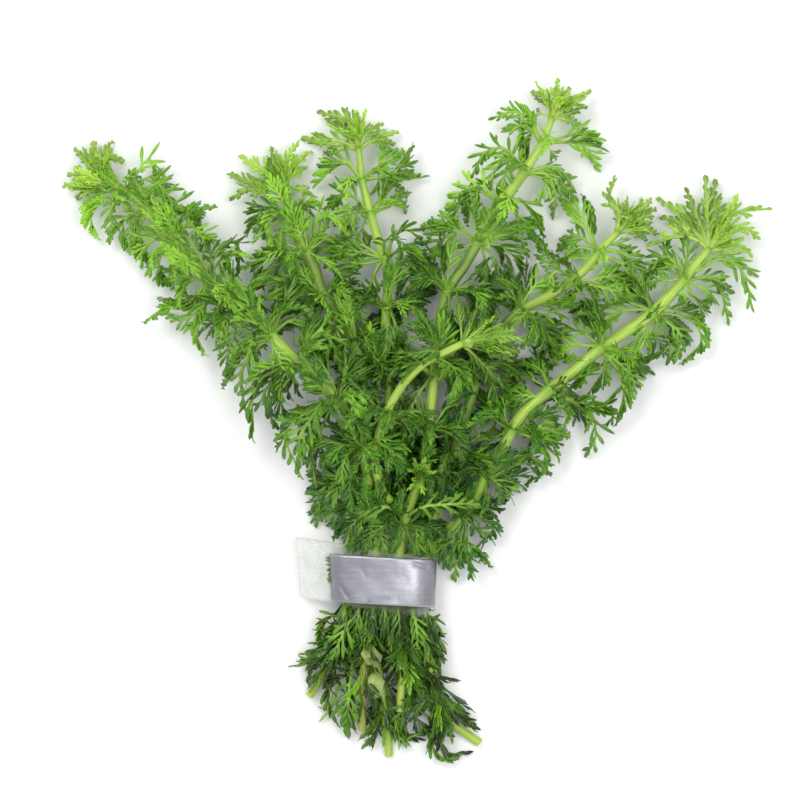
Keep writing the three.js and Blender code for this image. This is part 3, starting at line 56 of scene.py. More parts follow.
# Each shoot from its tip to its cut end: the radii at the tip, below it, in the strip and at the cut,
# the route of the middle line, and the whorls. A whorl has the place where it sits, the reach of its
# leaves, how many wild leaves it has besides those that fill it, and the plan points of the leaves that
# shape its outline. Its place is named where it isn't one of the numbered whorls: the tip, the foot
# below the strip, or a joint, which belongs to its stem's node. Strands are the wet leaves that hang
# from a whorl below the strip, where their number isn't the usual.
SHOOTS = [
  {
    "name": "stem_1", "radii": [1, 1.6, 1.42, 1.05],
    "route": [
      [-71.5, 104.5, 7], [-67.5, 102.5, 7], [-62, 98, 7.5], [-55.5, 90.5, 8.5], [-47.5, 82, 10],
      [-39, 73.5, 13], [-31, 66, 16], [-21.5, 56.5, 19], [-12.5, 48, 19.5], [-7, 39.5, 18.5],
      [-4.5, 31, 16], [-3, 21.5, 12.5], [-2, 11, 8.8], [-2, 1.5, 7.4], [-3, -7.5, 7.4], [-4, -15.5, 7.4],
      [-5, -23.5, 7], [-5.5, -31.5, 5.2], [-5.5, -39.5, 2.6],
    ],
    "whorls": [
      {"at": [-71.5, 104.5], "reach": 11, "wild": 2, "place": "tip", "leaves": [
        [-77.5, 111, -81, 113.5], [-76, 111.5, -76.5, 115.5], [-74, 111, -72, 115.5],
        [-77.5, 107.5, -82.5, 107], [-77, 105.5, -84, 104], [-76, 105, -80.5, 101],
        [-73.5, 111.5, -69, 111],
      ]},
      {"at": [-67.5, 102.5], "reach": 9, "wild": 2, "leaves": [
        [-73, 102.5, -75.5, 102, -78, 98], [-74.5, 99.5, -77, 95.5, -75.5, 91.5],
        [-71.5, 98.5, -71.5, 94.5, -72, 90], [-64.5, 108, -61.5, 111, -59, 106],
        [-62.5, 106, -59.5, 106, -56.5, 104], [-61.5, 103.5, -57.5, 102, -56.5, 98.5],
      ]},
      {"at": [-62, 98], "reach": 10, "wild": 2, "leaves": [
        [-57.5, 99.5, -52.5, 98.5, -48.5, 97.5], [-56.5, 97, -51.5, 96, -49, 92.5],
        [-64.5, 94.5, -66.5, 91, -67, 87], [-64, 92.5, -63, 88, -61, 84],
        [-68, 95.5, -68.5, 92.5, -67.5, 88.5],
      ]},
      {"at": [-53.5, 89], "reach": 14, "wild": 3, "leaves": [
        [-50, 92, -47, 91.5, -44.5, 90], [-58, 86.5, -59, 82.5, -55.5, 78], [-60, 90, -63.5, 87, -63.5, 84],
        [-55, 83, -54, 77.5, -51, 74],
      ]},
      {"at": [-45, 80], "reach": 14, "wild": 2, "leaves": [
        [-45, 85.5, -41, 89.5, -38, 88, -38, 81.5], [-50.5, 74, -55.5, 73, -62, 69],
        [-49.5, 74.5, -53.5, 74, -58, 74.5], [-49, 71, -53.5, 68.5, -57.5, 70.5],
        [-47, 70, -49.5, 66, -47.5, 61],
      ]},
      {"at": [-37, 72], "reach": 14, "wild": 3, "leaves": [
        [-41.5, 68.5, -42.5, 64.5, -43, 61], [-32, 74, -26, 74, -22, 71], [-39, 65.5, -40.5, 61, -41.5, 55],
        [-42.5, 74, -47, 72.5, -48.5, 68],
      ]},
      {"at": [-29, 64.5], "reach": 14, "wild": 3, "leaves": [
        [-35, 62, -38.5, 56.5, -41.5, 51.5], [-34, 60.5, -37.5, 54, -36.5, 46],
        [-24.5, 68.5, -20.5, 67.5, -19, 62],
      ]},
      {"at": [-21.5, 56.5], "reach": 15, "wild": 2, "leaves": [
        [-28.5, 56, -34, 49.5, -34, 38], [-27, 54, -31.5, 48.5, -28.5, 41.5],
        [-25.5, 52, -27, 47.5, -25, 43.5], [-19.5, 63, -15, 65.5, -10.5, 55],
      ]},
      {"at": [-12, 48], "reach": 15, "wild": 2, "leaves": [
        [-18.5, 45.5, -23.5, 42.5, -27.5, 35], [-20.5, 44, -25.5, 38, -21.5, 28],
        [-18.5, 43, -22, 37, -22, 31.5], [-16.5, 43.5, -19.5, 36.5, -17.5, 26],
        [-14.5, 44, -17, 36.5, -15, 27.5], [-7.5, 51, -4.5, 48, -3.5, 42.5],
      ]},
      {"at": [-5.5, 34.5], "reach": 15, "wild": 3, "leaves": [
        [-11.5, 39, -16, 40.5, -17.5, 32], [-9.5, 32.5, -14, 32, -10, 29.5], [-8.5, 28.5, -12, 27, -15, 27],
      ]},
      {"at": [-2.5, 16.5], "reach": 12, "wild": 2, "place": "joint", "leaves": [
        [-6.5, 19.5, -10, 18, -11.5, 13], [-6, 15.5, -9.5, 14.5, -12.5, 11.5],
        [-5, 12.5, -7.5, 10, -10.5, 9], [1, 19.5, 3.5, 21.5, 5, 19],
      ]},
      {"at": [-3.6, -12], "reach": 10, "place": "joint", "leaves": [
        [-5, -14.5, -6, -18, -5.5, -22], [-1.5, -14, -0.5, -17.5, -1.5, -21],
      ]},
      {"at": [-5.2, -26.5], "reach": 12, "place": "joint", "strands": 8, "leaves": [
        [-8.5, -28, -10, -33, -9.5, -39.5], [-9, -25, -12.5, -26.5, -15, -31],
        [-2.5, -28.5, -2, -33, -3.5, -37], [-8, -29.5, -8.5, -34, -7.5, -38.5],
      ]},
    ],
  },
  {
    "name": "stem_2", "radii": [1.1, 1.7, 1.42, 1.1],
    "route": [
      [-26, 103.5, 6], [-24.5, 97, 6], [-22, 90, 6], [-18.5, 83, 6.5], [-16.5, 76.5, 7], [-11.5, 69.5, 7.5],
      [-7, 61.5, 8], [-5.5, 50.5, 8], [-6.5, 37, 7.5], [-8, 24, 6.2], [-8.5, 12, 4.6], [-8, 1.5, 4.2],
      [-9.5, -7.5, 4.2], [-12, -15.5, 4], [-15.5, -24, 3.2], [-19.5, -30.5, 1.6],
    ],
    "whorls": [
      {"at": [-26, 103.5], "reach": 11, "wild": 2, "place": "tip", "leaves": [
        [-33.5, 105, -40.5, 107], [-33, 103, -36, 103.5, -39.5, 101], [-31, 108, -37, 111.5],
        [-28.5, 109, -29.5, 114], [-26, 110, -22.5, 115.5], [-24, 108.5, -19.5, 113],
        [-24, 107, -20.5, 109], [-22, 103.5, -18.5, 101.5],
      ]},
      {"at": [-24, 97], "reach": 12, "wild": 2, "leaves": [
        [-29.5, 98.5, -33, 96.5, -35, 92.5], [-29, 96, -31.5, 94, -31, 91], [-30.5, 92.5, -29, 90, -31, 87],
      ]},
      {"at": [-19.5, 87], "reach": 14, "wild": 1, "leaves": [
        [-24.5, 88.5, -31, 85.5, -37.5, 82], [-26.5, 86, -31.5, 84, -31.5, 78.5],
        [-26, 86.5, -22, 84, -21.5, 82], [-18.5, 93, -16, 97, -10, 94.5, -11, 89],
        [-15.5, 90, -11.5, 91, -8.5, 94.5], [-17, 91, -15.5, 94, -13.5, 96],
      ]},
      {"at": [-14.5, 74.5], "reach": 13, "wild": 3, "leaves": [
        [-19, 77.5, -24.5, 79, -29, 77], [-20.5, 75, -26, 73.5, -29, 69],
        [-10, 73.5, -6.5, 71.5, -4.5, 66.5],
      ]},
      {"at": [-8.5, 62], "reach": 15, "wild": 4, "leaves": [
        [-14, 64.5, -18, 64, -19.5, 58], [-5, 59, -1.5, 57.5, 0.5, 52.5],
      ]},
      {"at": [-8, 24], "reach": 14, "wild": 2, "leaves": [
        [-10.5, 24.5, -13, 24, -12.5, 19], [-8.5, 26, -8.5, 23, -10, 19],
        [-10, 19.5, -12.5, 18, -15.5, 16.5], [-11, 25.5, -16, 24, -17.5, 16],
        [-9, 17.5, -9.5, 15, -14, 14.5], [-11.5, 22.5, -15.5, 21.5, -18.5, 18.5],
      ]},
      {"at": [-12, -15.5], "reach": 10, "place": "foot", "leaves": [
        [-13, -11.5, -14, -15, -15, -17], [-14.5, -18, -18, -19.5, -19.5, -26],
        [-15, -22.5, -17.5, -22.5, -20.5, -21.5], [-13, -25, -14.5, -31.5, -12.5, -36.5],
        [-9.5, -26.5, -9.5, -34.5, -9, -40.5],
      ]},
      {"at": [-10.2, -9.7], "reach": 9, "place": "joint", "leaves": [
        [-14, -9.5, -16, -13, -16.5, -18], [-12.5, -12.5, -13, -17, -12, -21],
        [-8, -13, -8.5, -17.5, -7, -21],
      ]},
    ],
  },
  {
    "name": "stem_3", "radii": [0.8, 1.2, 1.42, 1.05],
    "route": [
      [-6.5, 114, 8], [-5.5, 105.5, 8], [-3.5, 97.5, 8], [-1.5, 90.5, 8], [1, 83.5, 8], [1, 74, 8],
      [0.5, 62, 8.5], [1.5, 49.5, 8.5], [2.5, 37, 8], [0.5, 24, 6.3], [-3, 11.5, 4.6], [-4, 1.5, 4.2],
      [-4, -7.5, 4.2], [-2.5, -18, 3.8], [-0.5, -28.5, 3], [1, -38, 2], [1.5, -46.5, 1.3],
    ],
    "whorls": [
      {"at": [-6.5, 114], "reach": 11, "wild": 1, "place": "tip", "leaves": [
        [-8.5, 121, -16.5, 123.5], [-10, 118.5, -14.5, 121.5], [-12.5, 116, -20.5, 116.5],
        [-11.5, 114, -15.5, 112.5], [-6, 118.5, -7, 123.5], [-4.5, 117.5, -0.5, 120.5],
        [-2, 116.5, 3.5, 118.5], [-2.5, 116, 2.5, 115.5],
      ]},
      {"at": [-5.5, 105.5], "reach": 12, "wild": 2, "leaves": [
        [-9.5, 110, -13.5, 108.5, -17, 105], [-9, 110, -12.5, 110.5, -16, 109.5],
        [-2.5, 108.5, -1, 106, -2.5, 103], [0.5, 106.5, 3.5, 108.5, 6.5, 113.5],
        [-1.5, 109, 1, 111.5, 4.5, 113],
      ]},
      {"at": [-3, 97], "reach": 12, "wild": 2, "leaves": [
        [-7, 100.5, -10.5, 102, -14, 98.5], [-7, 98, -9.5, 97, -12, 94.5],
        [0.5, 101.5, 4.5, 105.5, 11, 106.5], [1.5, 98.5, 4.5, 100.5, 5.5, 98], [0, 102, 3, 104, 5.5, 102.5],
        [-5.5, 93, -5, 90.5, -7, 87.5],
      ]},
      {"at": [0.5, 85], "reach": 14, "wild": 1, "leaves": [
        [-4.5, 88, -10, 89, -16.5, 87], [-5.5, 86.5, -11, 87, -14.5, 83.5],
        [-4.5, 83.5, -10.5, 83.5, -12, 78], [-2, 81.5, -4, 77, -8.5, 77], [2.5, 90, 6.5, 92.5, 11.5, 88],
        [4, 87, 8, 88, 11.5, 84],
      ]},
      {"at": [1, 71.5], "reach": 14, "wild": 4, "leaves": [
        [-2.5, 76, -4.5, 76.5, -6, 74], [5.5, 74, 8.5, 74, 11, 70.5], [3.5, 67, 4, 63.5, 2, 60],
      ]},
      {"at": [1.5, 54], "reach": 15, "wild": 5, "leaves": []},
      {"at": [0, -31.5], "reach": 12, "place": "foot", "strands": 20, "leaves": [
        [3, -35.5, 4.5, -42, 8.5, -41], [-3, -34.5, -2, -37.5, -0.5, -40.5],
      ]},
      {"at": [2.2, 33.5], "reach": 13, "wild": 4, "place": "joint", "leaves": [
        [6, 34.5, 8, 32, 6.5, 27], [-1.5, 34, -4, 31.5, -3.5, 27],
      ]},
      {"at": [-3.4, -11.5], "reach": 11, "place": "joint", "leaves": [
        [-0.5, -15, 1, -19, 0, -23.5], [-6, -15.5, -7.5, -19.5, -6.5, -24],
        [-3, -17, -3.5, -21.5, -2.5, -26],
      ]},
    ],
  },
  {
    "name": "stem_4", "radii": [0.8, 1.4, 1.42, 1.05],
    "route": [
      [44.5, 122, 9], [42, 115.5, 9], [37, 107.5, 9], [31, 99, 9], [26.5, 92, 9], [22, 84, 9.5],
      [17, 76, 10.5], [14.5, 65.5, 12], [13.5, 54, 13.5], [12, 42.5, 14], [11, 29.5, 13], [8, 22.5, 12],
      [6, 17, 11], [4.5, 9.5, 8.8], [4, 1.5, 7.4], [4.5, -7.5, 7.4], [5.5, -16, 7.4], [5, -25.5, 6.6],
      [4.5, -34.5, 5],
    ],
    "whorls": [
      {"at": [44.5, 122], "reach": 11, "wild": 1, "place": "tip", "leaves": [
        [45.5, 126.5, 46, 132], [43.5, 126.5, 39.5, 129], [47.5, 126.5, 49, 130], [48.5, 125, 54, 129],
        [48.5, 123, 53.5, 125], [48, 121.5, 52, 120.5], [41.5, 123, 38.5, 122.5],
      ]},
      {"at": [42, 115.5], "reach": 12, "wild": 1, "leaves": [
        [39, 121, 34.5, 123.5, 29, 122], [38, 121.5, 36, 123, 33, 124], [37.5, 120.5, 37, 117, 37.5, 109.5],
        [39.5, 118.5, 38.5, 115.5, 38.5, 112], [46.5, 116.5, 51, 117.5, 56.5, 116.5],
        [48.5, 115.5, 54, 115, 57.5, 114], [49.5, 115.5, 54, 113.5, 56.5, 109], [44, 113.5, 45.5, 111.5],
      ]},
      {"at": [37, 108], "reach": 13, "wild": 1, "leaves": [
        [32.5, 113.5, 27, 113, 23.5, 107], [32.5, 111, 29.5, 108, 28.5, 103.5],
        [33.5, 111, 32, 106, 31.5, 102], [42.5, 109, 46.5, 108.5, 50.5, 103.5],
        [43.5, 107.5, 47, 105, 50.5, 101.5], [43, 107, 45.5, 101.5, 45, 96],
        [43, 105.5, 42, 103, 41.5, 101],
      ]},
      {"at": [31, 99.5], "reach": 14, "wild": 1, "leaves": [
        [26, 104, 21, 102.5, 17.5, 98.5], [26.5, 103, 22, 101, 18, 95.5], [25.5, 102.5, 23, 99.5, 22.5, 95],
        [34.5, 101, 38, 98.5, 41.5, 92], [34, 98.5, 36, 94.5, 39, 90.5], [27.5, 97.5, 26, 96, 25, 93.5],
      ]},
      {"at": [25, 89], "reach": 14, "wild": 1, "leaves": [
        [21, 93, 16, 94, 11, 93], [21, 91.5, 15.5, 90, 12.5, 85], [22, 88, 17.5, 87, 16, 84],
        [31, 91, 35.5, 90.5, 38, 86], [30.5, 88.5, 34, 86, 36, 83], [33, 93, 38, 93.5, 41.5, 88.5],
        [28.5, 86, 30, 83.5, 29.5, 80],
      ]},
      {"at": [17, 76], "reach": 15, "wild": 4, "leaves": [
        [12.5, 79.5, 7.5, 80.5, 4.5, 76], [21.5, 77.5, 26, 75.5, 28, 70.5],
      ]},
      {"at": [13.5, 54], "reach": 15, "wild": 5, "leaves": []},
      {"at": [11.5, 39.5], "reach": 15, "wild": 3, "leaves": [
        [16.5, 45.5, 21, 50, 25.5, 57.5], [15.5, 37, 18, 41.5, 24, 43],
      ]},
      {"at": [10.4, 28], "reach": 11, "wild": 3, "place": "joint", "leaves": [
        [6.5, 31, 3, 31, 1, 27.5], [14.5, 29.5, 17.5, 28, 17.5, 22.5], [9, 24.5, 8.5, 21.5, 10.5, 18.5],
      ]},
      {"at": [5.4, 14.5], "reach": 12, "wild": 2, "place": "joint", "leaves": [
        [1.5, 18, -1.5, 21.5, -4.5, 20.5], [9.5, 17.5, 14.5, 19.5, 20, 17.5], [1, 14, -3, 13.5, -6, 9.5],
        [9.5, 13.5, 13, 14, 15, 10], [8, 11, 11.5, 10, 13.5, 7.8],
      ]},
      {"at": [4.8, -11], "reach": 11, "place": "joint", "leaves": [
        [8, -12, 10.5, -15.5, 11, -21], [6.5, -14.5, 8.5, -19, 8, -24], [2.5, -14.5, 2.5, -19, 1.5, -23.5],
        [4, -15, 4.5, -20, 5, -25],
      ]},
    ],
  },
  {
    "name": "stem_5", "radii": [0.8, 1.3, 1.42, 1.1],
    "route": [
      [62, 92, 8], [58, 88, 8], [54, 83, 8], [49.5, 79, 8], [43.5, 75, 8], [36.5, 71.5, 8], [31, 66, 8],
      [26.5, 58, 8], [23, 47.5, 8], [19.5, 37, 8], [16.5, 25.5, 7], [12.5, 15.5, 5.6], [7.5, 7.5, 4.5],
      [2.5, 1, 4.2], [3.5, -7.5, 4.1], [6, -18, 3.8], [9, -28.5, 3],
    ],
    "whorls": [
      {"at": [62, 92], "reach": 10, "wild": 1, "place": "tip", "leaves": [
        [62, 97.5, 59.5, 100.5, 61, 106], [64.5, 96, 64, 100], [66.5, 97, 68, 100.5],
        [67.5, 96.5, 70.5, 100.5], [68, 95.5, 71.5, 98], [68, 93, 72, 91.5], [66, 92, 69.5, 90],
      ]},
      {"at": [56.5, 87], "reach": 12, "wild": 1, "leaves": [
        [54.5, 93.5, 53.5, 97.5, 52.5, 101], [53.5, 93.5, 51.5, 97, 48, 99.5], [53, 90, 49.5, 91, 46.5, 88],
        [61, 87, 65, 85, 68, 83], [62, 84, 65.5, 83, 66, 77.5], [58.5, 84, 59, 80.5, 57, 76.5],
        [59.5, 88.5, 62.5, 89, 65, 87], [52.5, 88, 50.5, 87, 48, 84.5], [54.5, 84, 52.5, 86, 50, 86.5],
      ]},
      {"at": [49.5, 78.5], "reach": 13, "wild": 1, "leaves": [
        [56, 79.5, 61, 80.5, 64.5, 78.5], [56.5, 77.5, 62.5, 76, 67.5, 74.5],
        [45.5, 83, 43, 85.5, 41.5, 89], [45.5, 81.5, 43.5, 77.5, 44.5, 73.5],
        [52, 76, 53.5, 73.5, 52, 69.5],
      ]},
      {"at": [36, 71], "reach": 14, "wild": 2, "leaves": [
        [42.5, 73.5, 47.5, 74.5, 51, 77], [44.5, 71, 49, 73, 52.5, 72.5],
        [40.5, 68.5, 44.5, 66, 42.5, 58.5], [34, 76, 31, 79, 27, 78.5], [38.5, 76, 41.5, 79, 45.5, 78.5],
        [37.5, 75.5, 37.5, 79.5, 35.5, 83],
      ]},
      {"at": [26, 57], "reach": 15, "wild": 5, "leaves": [
        [30, 54, 33, 51.5, 37, 50.5], [28, 52.5, 31.5, 50, 34.5, 47],
      ]},
      {"at": [18, 32], "reach": 15, "wild": 4, "leaves": [
        [22.5, 36, 26.5, 38.5, 31, 38],
      ]},
      {"at": [7.5, -21], "reach": 13, "place": "foot", "leaves": [
        [11.5, -13, 14.5, -18, 14, -26.5], [11, -16, 13, -21, 12.5, -26.5], [5.5, -11, 4, -8, 5, -15.5],
        [10, -25.5, 14, -29, 16.5, -33],
      ]},
      {"at": [15, 21.5], "reach": 13, "wild": 4, "place": "joint", "leaves": [
        [17.5, 25, 18, 29, 16, 33], [18.5, 22, 21.5, 20, 22, 15.5], [12, 23.5, 10, 21, 10.5, 16.5],
      ]},
    ],
  },
  {
    "name": "stem_6", "radii": [1, 1.55, 1.42, 1.15],
    "route": [
      [86, 87.5, 8], [82.5, 83.5, 8], [79.5, 79.5, 8], [71.5, 71, 8], [64.5, 66, 8], [57, 61, 8.5],
      [50.5, 55.5, 9], [43.5, 50, 9.5], [36, 43, 9.5], [31.5, 35, 9], [27, 27, 8.5], [22.5, 19.5, 7.2],
      [16, 11.5, 5.6], [8.5, 1.5, 4.2], [8.5, -7.5, 4.2], [11, -17, 4], [14, -27.5, 3.4], [18, -37, 2.6],
      [25.5, -43, 1.5],
    ],
    "whorls": [
      {"at": [86, 87.5], "reach": 12, "wild": 1, "place": "tip", "leaves": [
        [91, 96, 95.5, 97.5, 101.5, 98], [85.5, 96.5, 85, 106], [87, 96.5, 87.5, 105], [83, 95.5, 80, 103],
        [81, 95.5, 73, 100.5], [82, 92, 78, 94.5, 74, 95.5], [90.5, 96, 93.5, 101.5],
        [90.5, 93, 95.5, 93, 99, 90.5], [81, 90.5, 76.5, 90.5, 71, 88.5], [90.5, 87.5, 94, 88.5, 97, 86],
      ]},
      {"at": [79.5, 79.5], "reach": 14, "wild": 1, "leaves": [
        [87, 85.5, 93, 85, 98, 81], [87, 84.5, 94, 82.5, 97.5, 72.5], [85.5, 80, 89, 78.5, 92, 76.5],
        [85, 80, 89, 76.5, 91, 69], [83.5, 77.5, 86.5, 76, 85.5, 73], [81.5, 75, 83.5, 72.5, 84, 68.5],
        [77, 84, 73, 85, 68.5, 77], [76, 81.5, 73, 82, 69, 79], [79.5, 76, 79, 74.5, 78.5, 73.5],
        [76.5, 83, 74, 86, 75, 89.5], [80, 85, 80.5, 88, 78.5, 91], [75, 79, 72.5, 79.5, 71, 77.5],
      ]},
      {"at": [71, 71], "reach": 14, "wild": 1, "leaves": [
        [66, 73, 61, 73.5, 55.5, 69], [67, 71.5, 61, 70.5, 56.5, 65.5], [74.5, 72, 79.5, 71, 83.5, 69],
        [75, 70.5, 81.5, 68.5, 84, 63, 79.5, 58], [73, 66.5, 75.5, 62, 69.5, 59],
        [71, 66, 67, 63, 67.5, 59], [75, 68, 78.5, 64.5, 77.5, 59], [71, 66, 72.5, 63.5, 74.5, 60.5],
        [68.5, 66, 70.5, 63.5, 70.5, 60.5],
      ]},
      {"at": [58, 61], "reach": 14, "wild": 2, "leaves": [
        [62.5, 57, 66, 52.5, 65.5, 47], [61.5, 56, 63.5, 49.5, 61.5, 42], [58.5, 55.5, 58, 51],
        [54, 64.5, 50.5, 66, 46.5, 64.5], [53, 62, 48, 62, 44.5, 57], [54.5, 57, 52, 54, 49.5, 51],
        [55, 58, 51, 57.5, 48, 58.5], [58.5, 56.5, 57, 53.5, 54.5, 50],
      ]},
      {"at": [44.5, 49.5], "reach": 14, "wild": 1, "leaves": [
        [42.5, 53, 41.5, 55.5, 39.5, 58], [40.5, 52.5, 36, 54.5, 32, 53.5], [50.5, 47, 57, 46, 62, 50.5],
        [50.5, 46.5, 55, 44, 56, 37.5, 54, 33.5], [46.5, 46, 48.5, 44.5, 48, 41.5],
        [56.5, 45.5, 60.5, 43.5, 59, 41.5], [49.5, 53, 54, 54.5, 57.5, 56.5],
        [40.5, 48.5, 36, 49, 31.5, 47], [39.5, 46.5, 35.5, 46.5, 32, 44],
      ]},
      {"at": [34, 39.5], "reach": 14, "wild": 2, "leaves": [
        [39, 42, 43, 43, 45.5, 41.5], [40.5, 40.5, 44.5, 39.5, 48.5, 38.5], [39, 39, 44, 37, 46, 32.5],
        [38.5, 38, 42.5, 35.5, 43, 31], [30.5, 41.5, 28.5, 44, 26.5, 47], [30, 38, 27.5, 37, 25, 34],
        [32, 44, 32.5, 47, 35, 50],
      ]},
      {"at": [27, 27], "reach": 11, "wild": 2, "leaves": [
        [32, 31.5, 38.5, 33, 43, 29, 38.5, 26], [32.5, 29.5, 37.5, 31, 40.5, 28],
        [31.5, 26.5, 34.5, 27.5, 37, 29], [30.5, 25.5, 32.5, 23.5, 28.5, 21],
      ]},
      {"at": [21, 18], "reach": 9, "wild": 1, "leaves": [
        [25.5, 17, 29, 14, 27.5, 11.5], [24, 14.5, 27, 12, 25.5, 9.5], [22, 11, 25, 8.5, 28, 5],
        [20.5, 10.5, 23, 5.5, 23.5, 1.5], [18.5, 10.5, 19, 5.5, 19, 1], [25, 19, 29, 19.5, 32, 23.5],
        [17.5, 13, 16.5, 8.5, 17, 4.5], [19.5, 12, 20.5, 8, 21, 4.5], [17, 14.5, 15.2, 11.5, 15, 8.5],
      ]},
      {"at": [14, -28], "reach": 13, "place": "foot", "leaves": [
        [12.5, -26, 16.5, -31.5, 21, -35], [11, -32, 8.5, -35.5, 12.5, -41.5],
        [14, -37, 13, -43.5, 16, -47, 19.5, -46.5], [8, -31.5, 5, -35.5, 6.5, -40.5],
        [17, -32.5, 19.5, -33, 21, -35.5],
      ]},
      {"at": [9.3, -10.5], "reach": 9, "place": "joint", "leaves": [
        [12.5, -9.5, 14, -12.5, 14.5, -18.5], [12, -12, 14, -17, 13.5, -24.5],
      ]},
    ],
  },
  {
    "name": "side_stem", "radii": [0.9, 1.1, 1.1, 1.2],
    "route": [
      [21, 62.5, 20], [15, 59.5, 21], [10.5, 57, 21.5], [5.5, 52, 21.5], [0.5, 43.5, 21], [-1.5, 37, 20],
      [-2, 31, 18.5], [-0.5, 24.5, 15.8], [2, 21, 13.4],
    ],
    "whorls": [
      {"at": [21, 62.5], "reach": 14, "wild": 0, "place": "tip", "leaves": [
        [28, 64.5, 36.5, 64], [28, 63.5, 35.5, 62], [27.5, 62.5, 35, 60.5], [27, 61.5, 33.5, 58],
        [26.5, 64.5, 34, 66],
      ]},
      {"at": [13.5, 59.5], "reach": 14, "wild": 3, "leaves": [
        [9, 60.5, 6, 58.5, 3.5, 54.5], [17, 56.5, 21, 55.5, 23, 52],
      ]},
      {"at": [0, 43.5], "reach": 14, "wild": 3, "leaves": [
        [-4.5, 46.5, -8, 47, -9.5, 44], [4, 41.5, 7.5, 40.5, 9, 36],
      ]},
      {"at": [-1.6, 33], "reach": 12, "wild": 0, "place": "joint", "leaves": [
        [-3, 30, -5, 27.5, -6.5, 23], [1.5, 31.5, 4.5, 30, 6.5, 26], [-5, 32, -8, 29.5, -9.5, 25],
        [-4, 34.5, -7, 34.5, -9, 32],
      ]},
    ],
  },
]

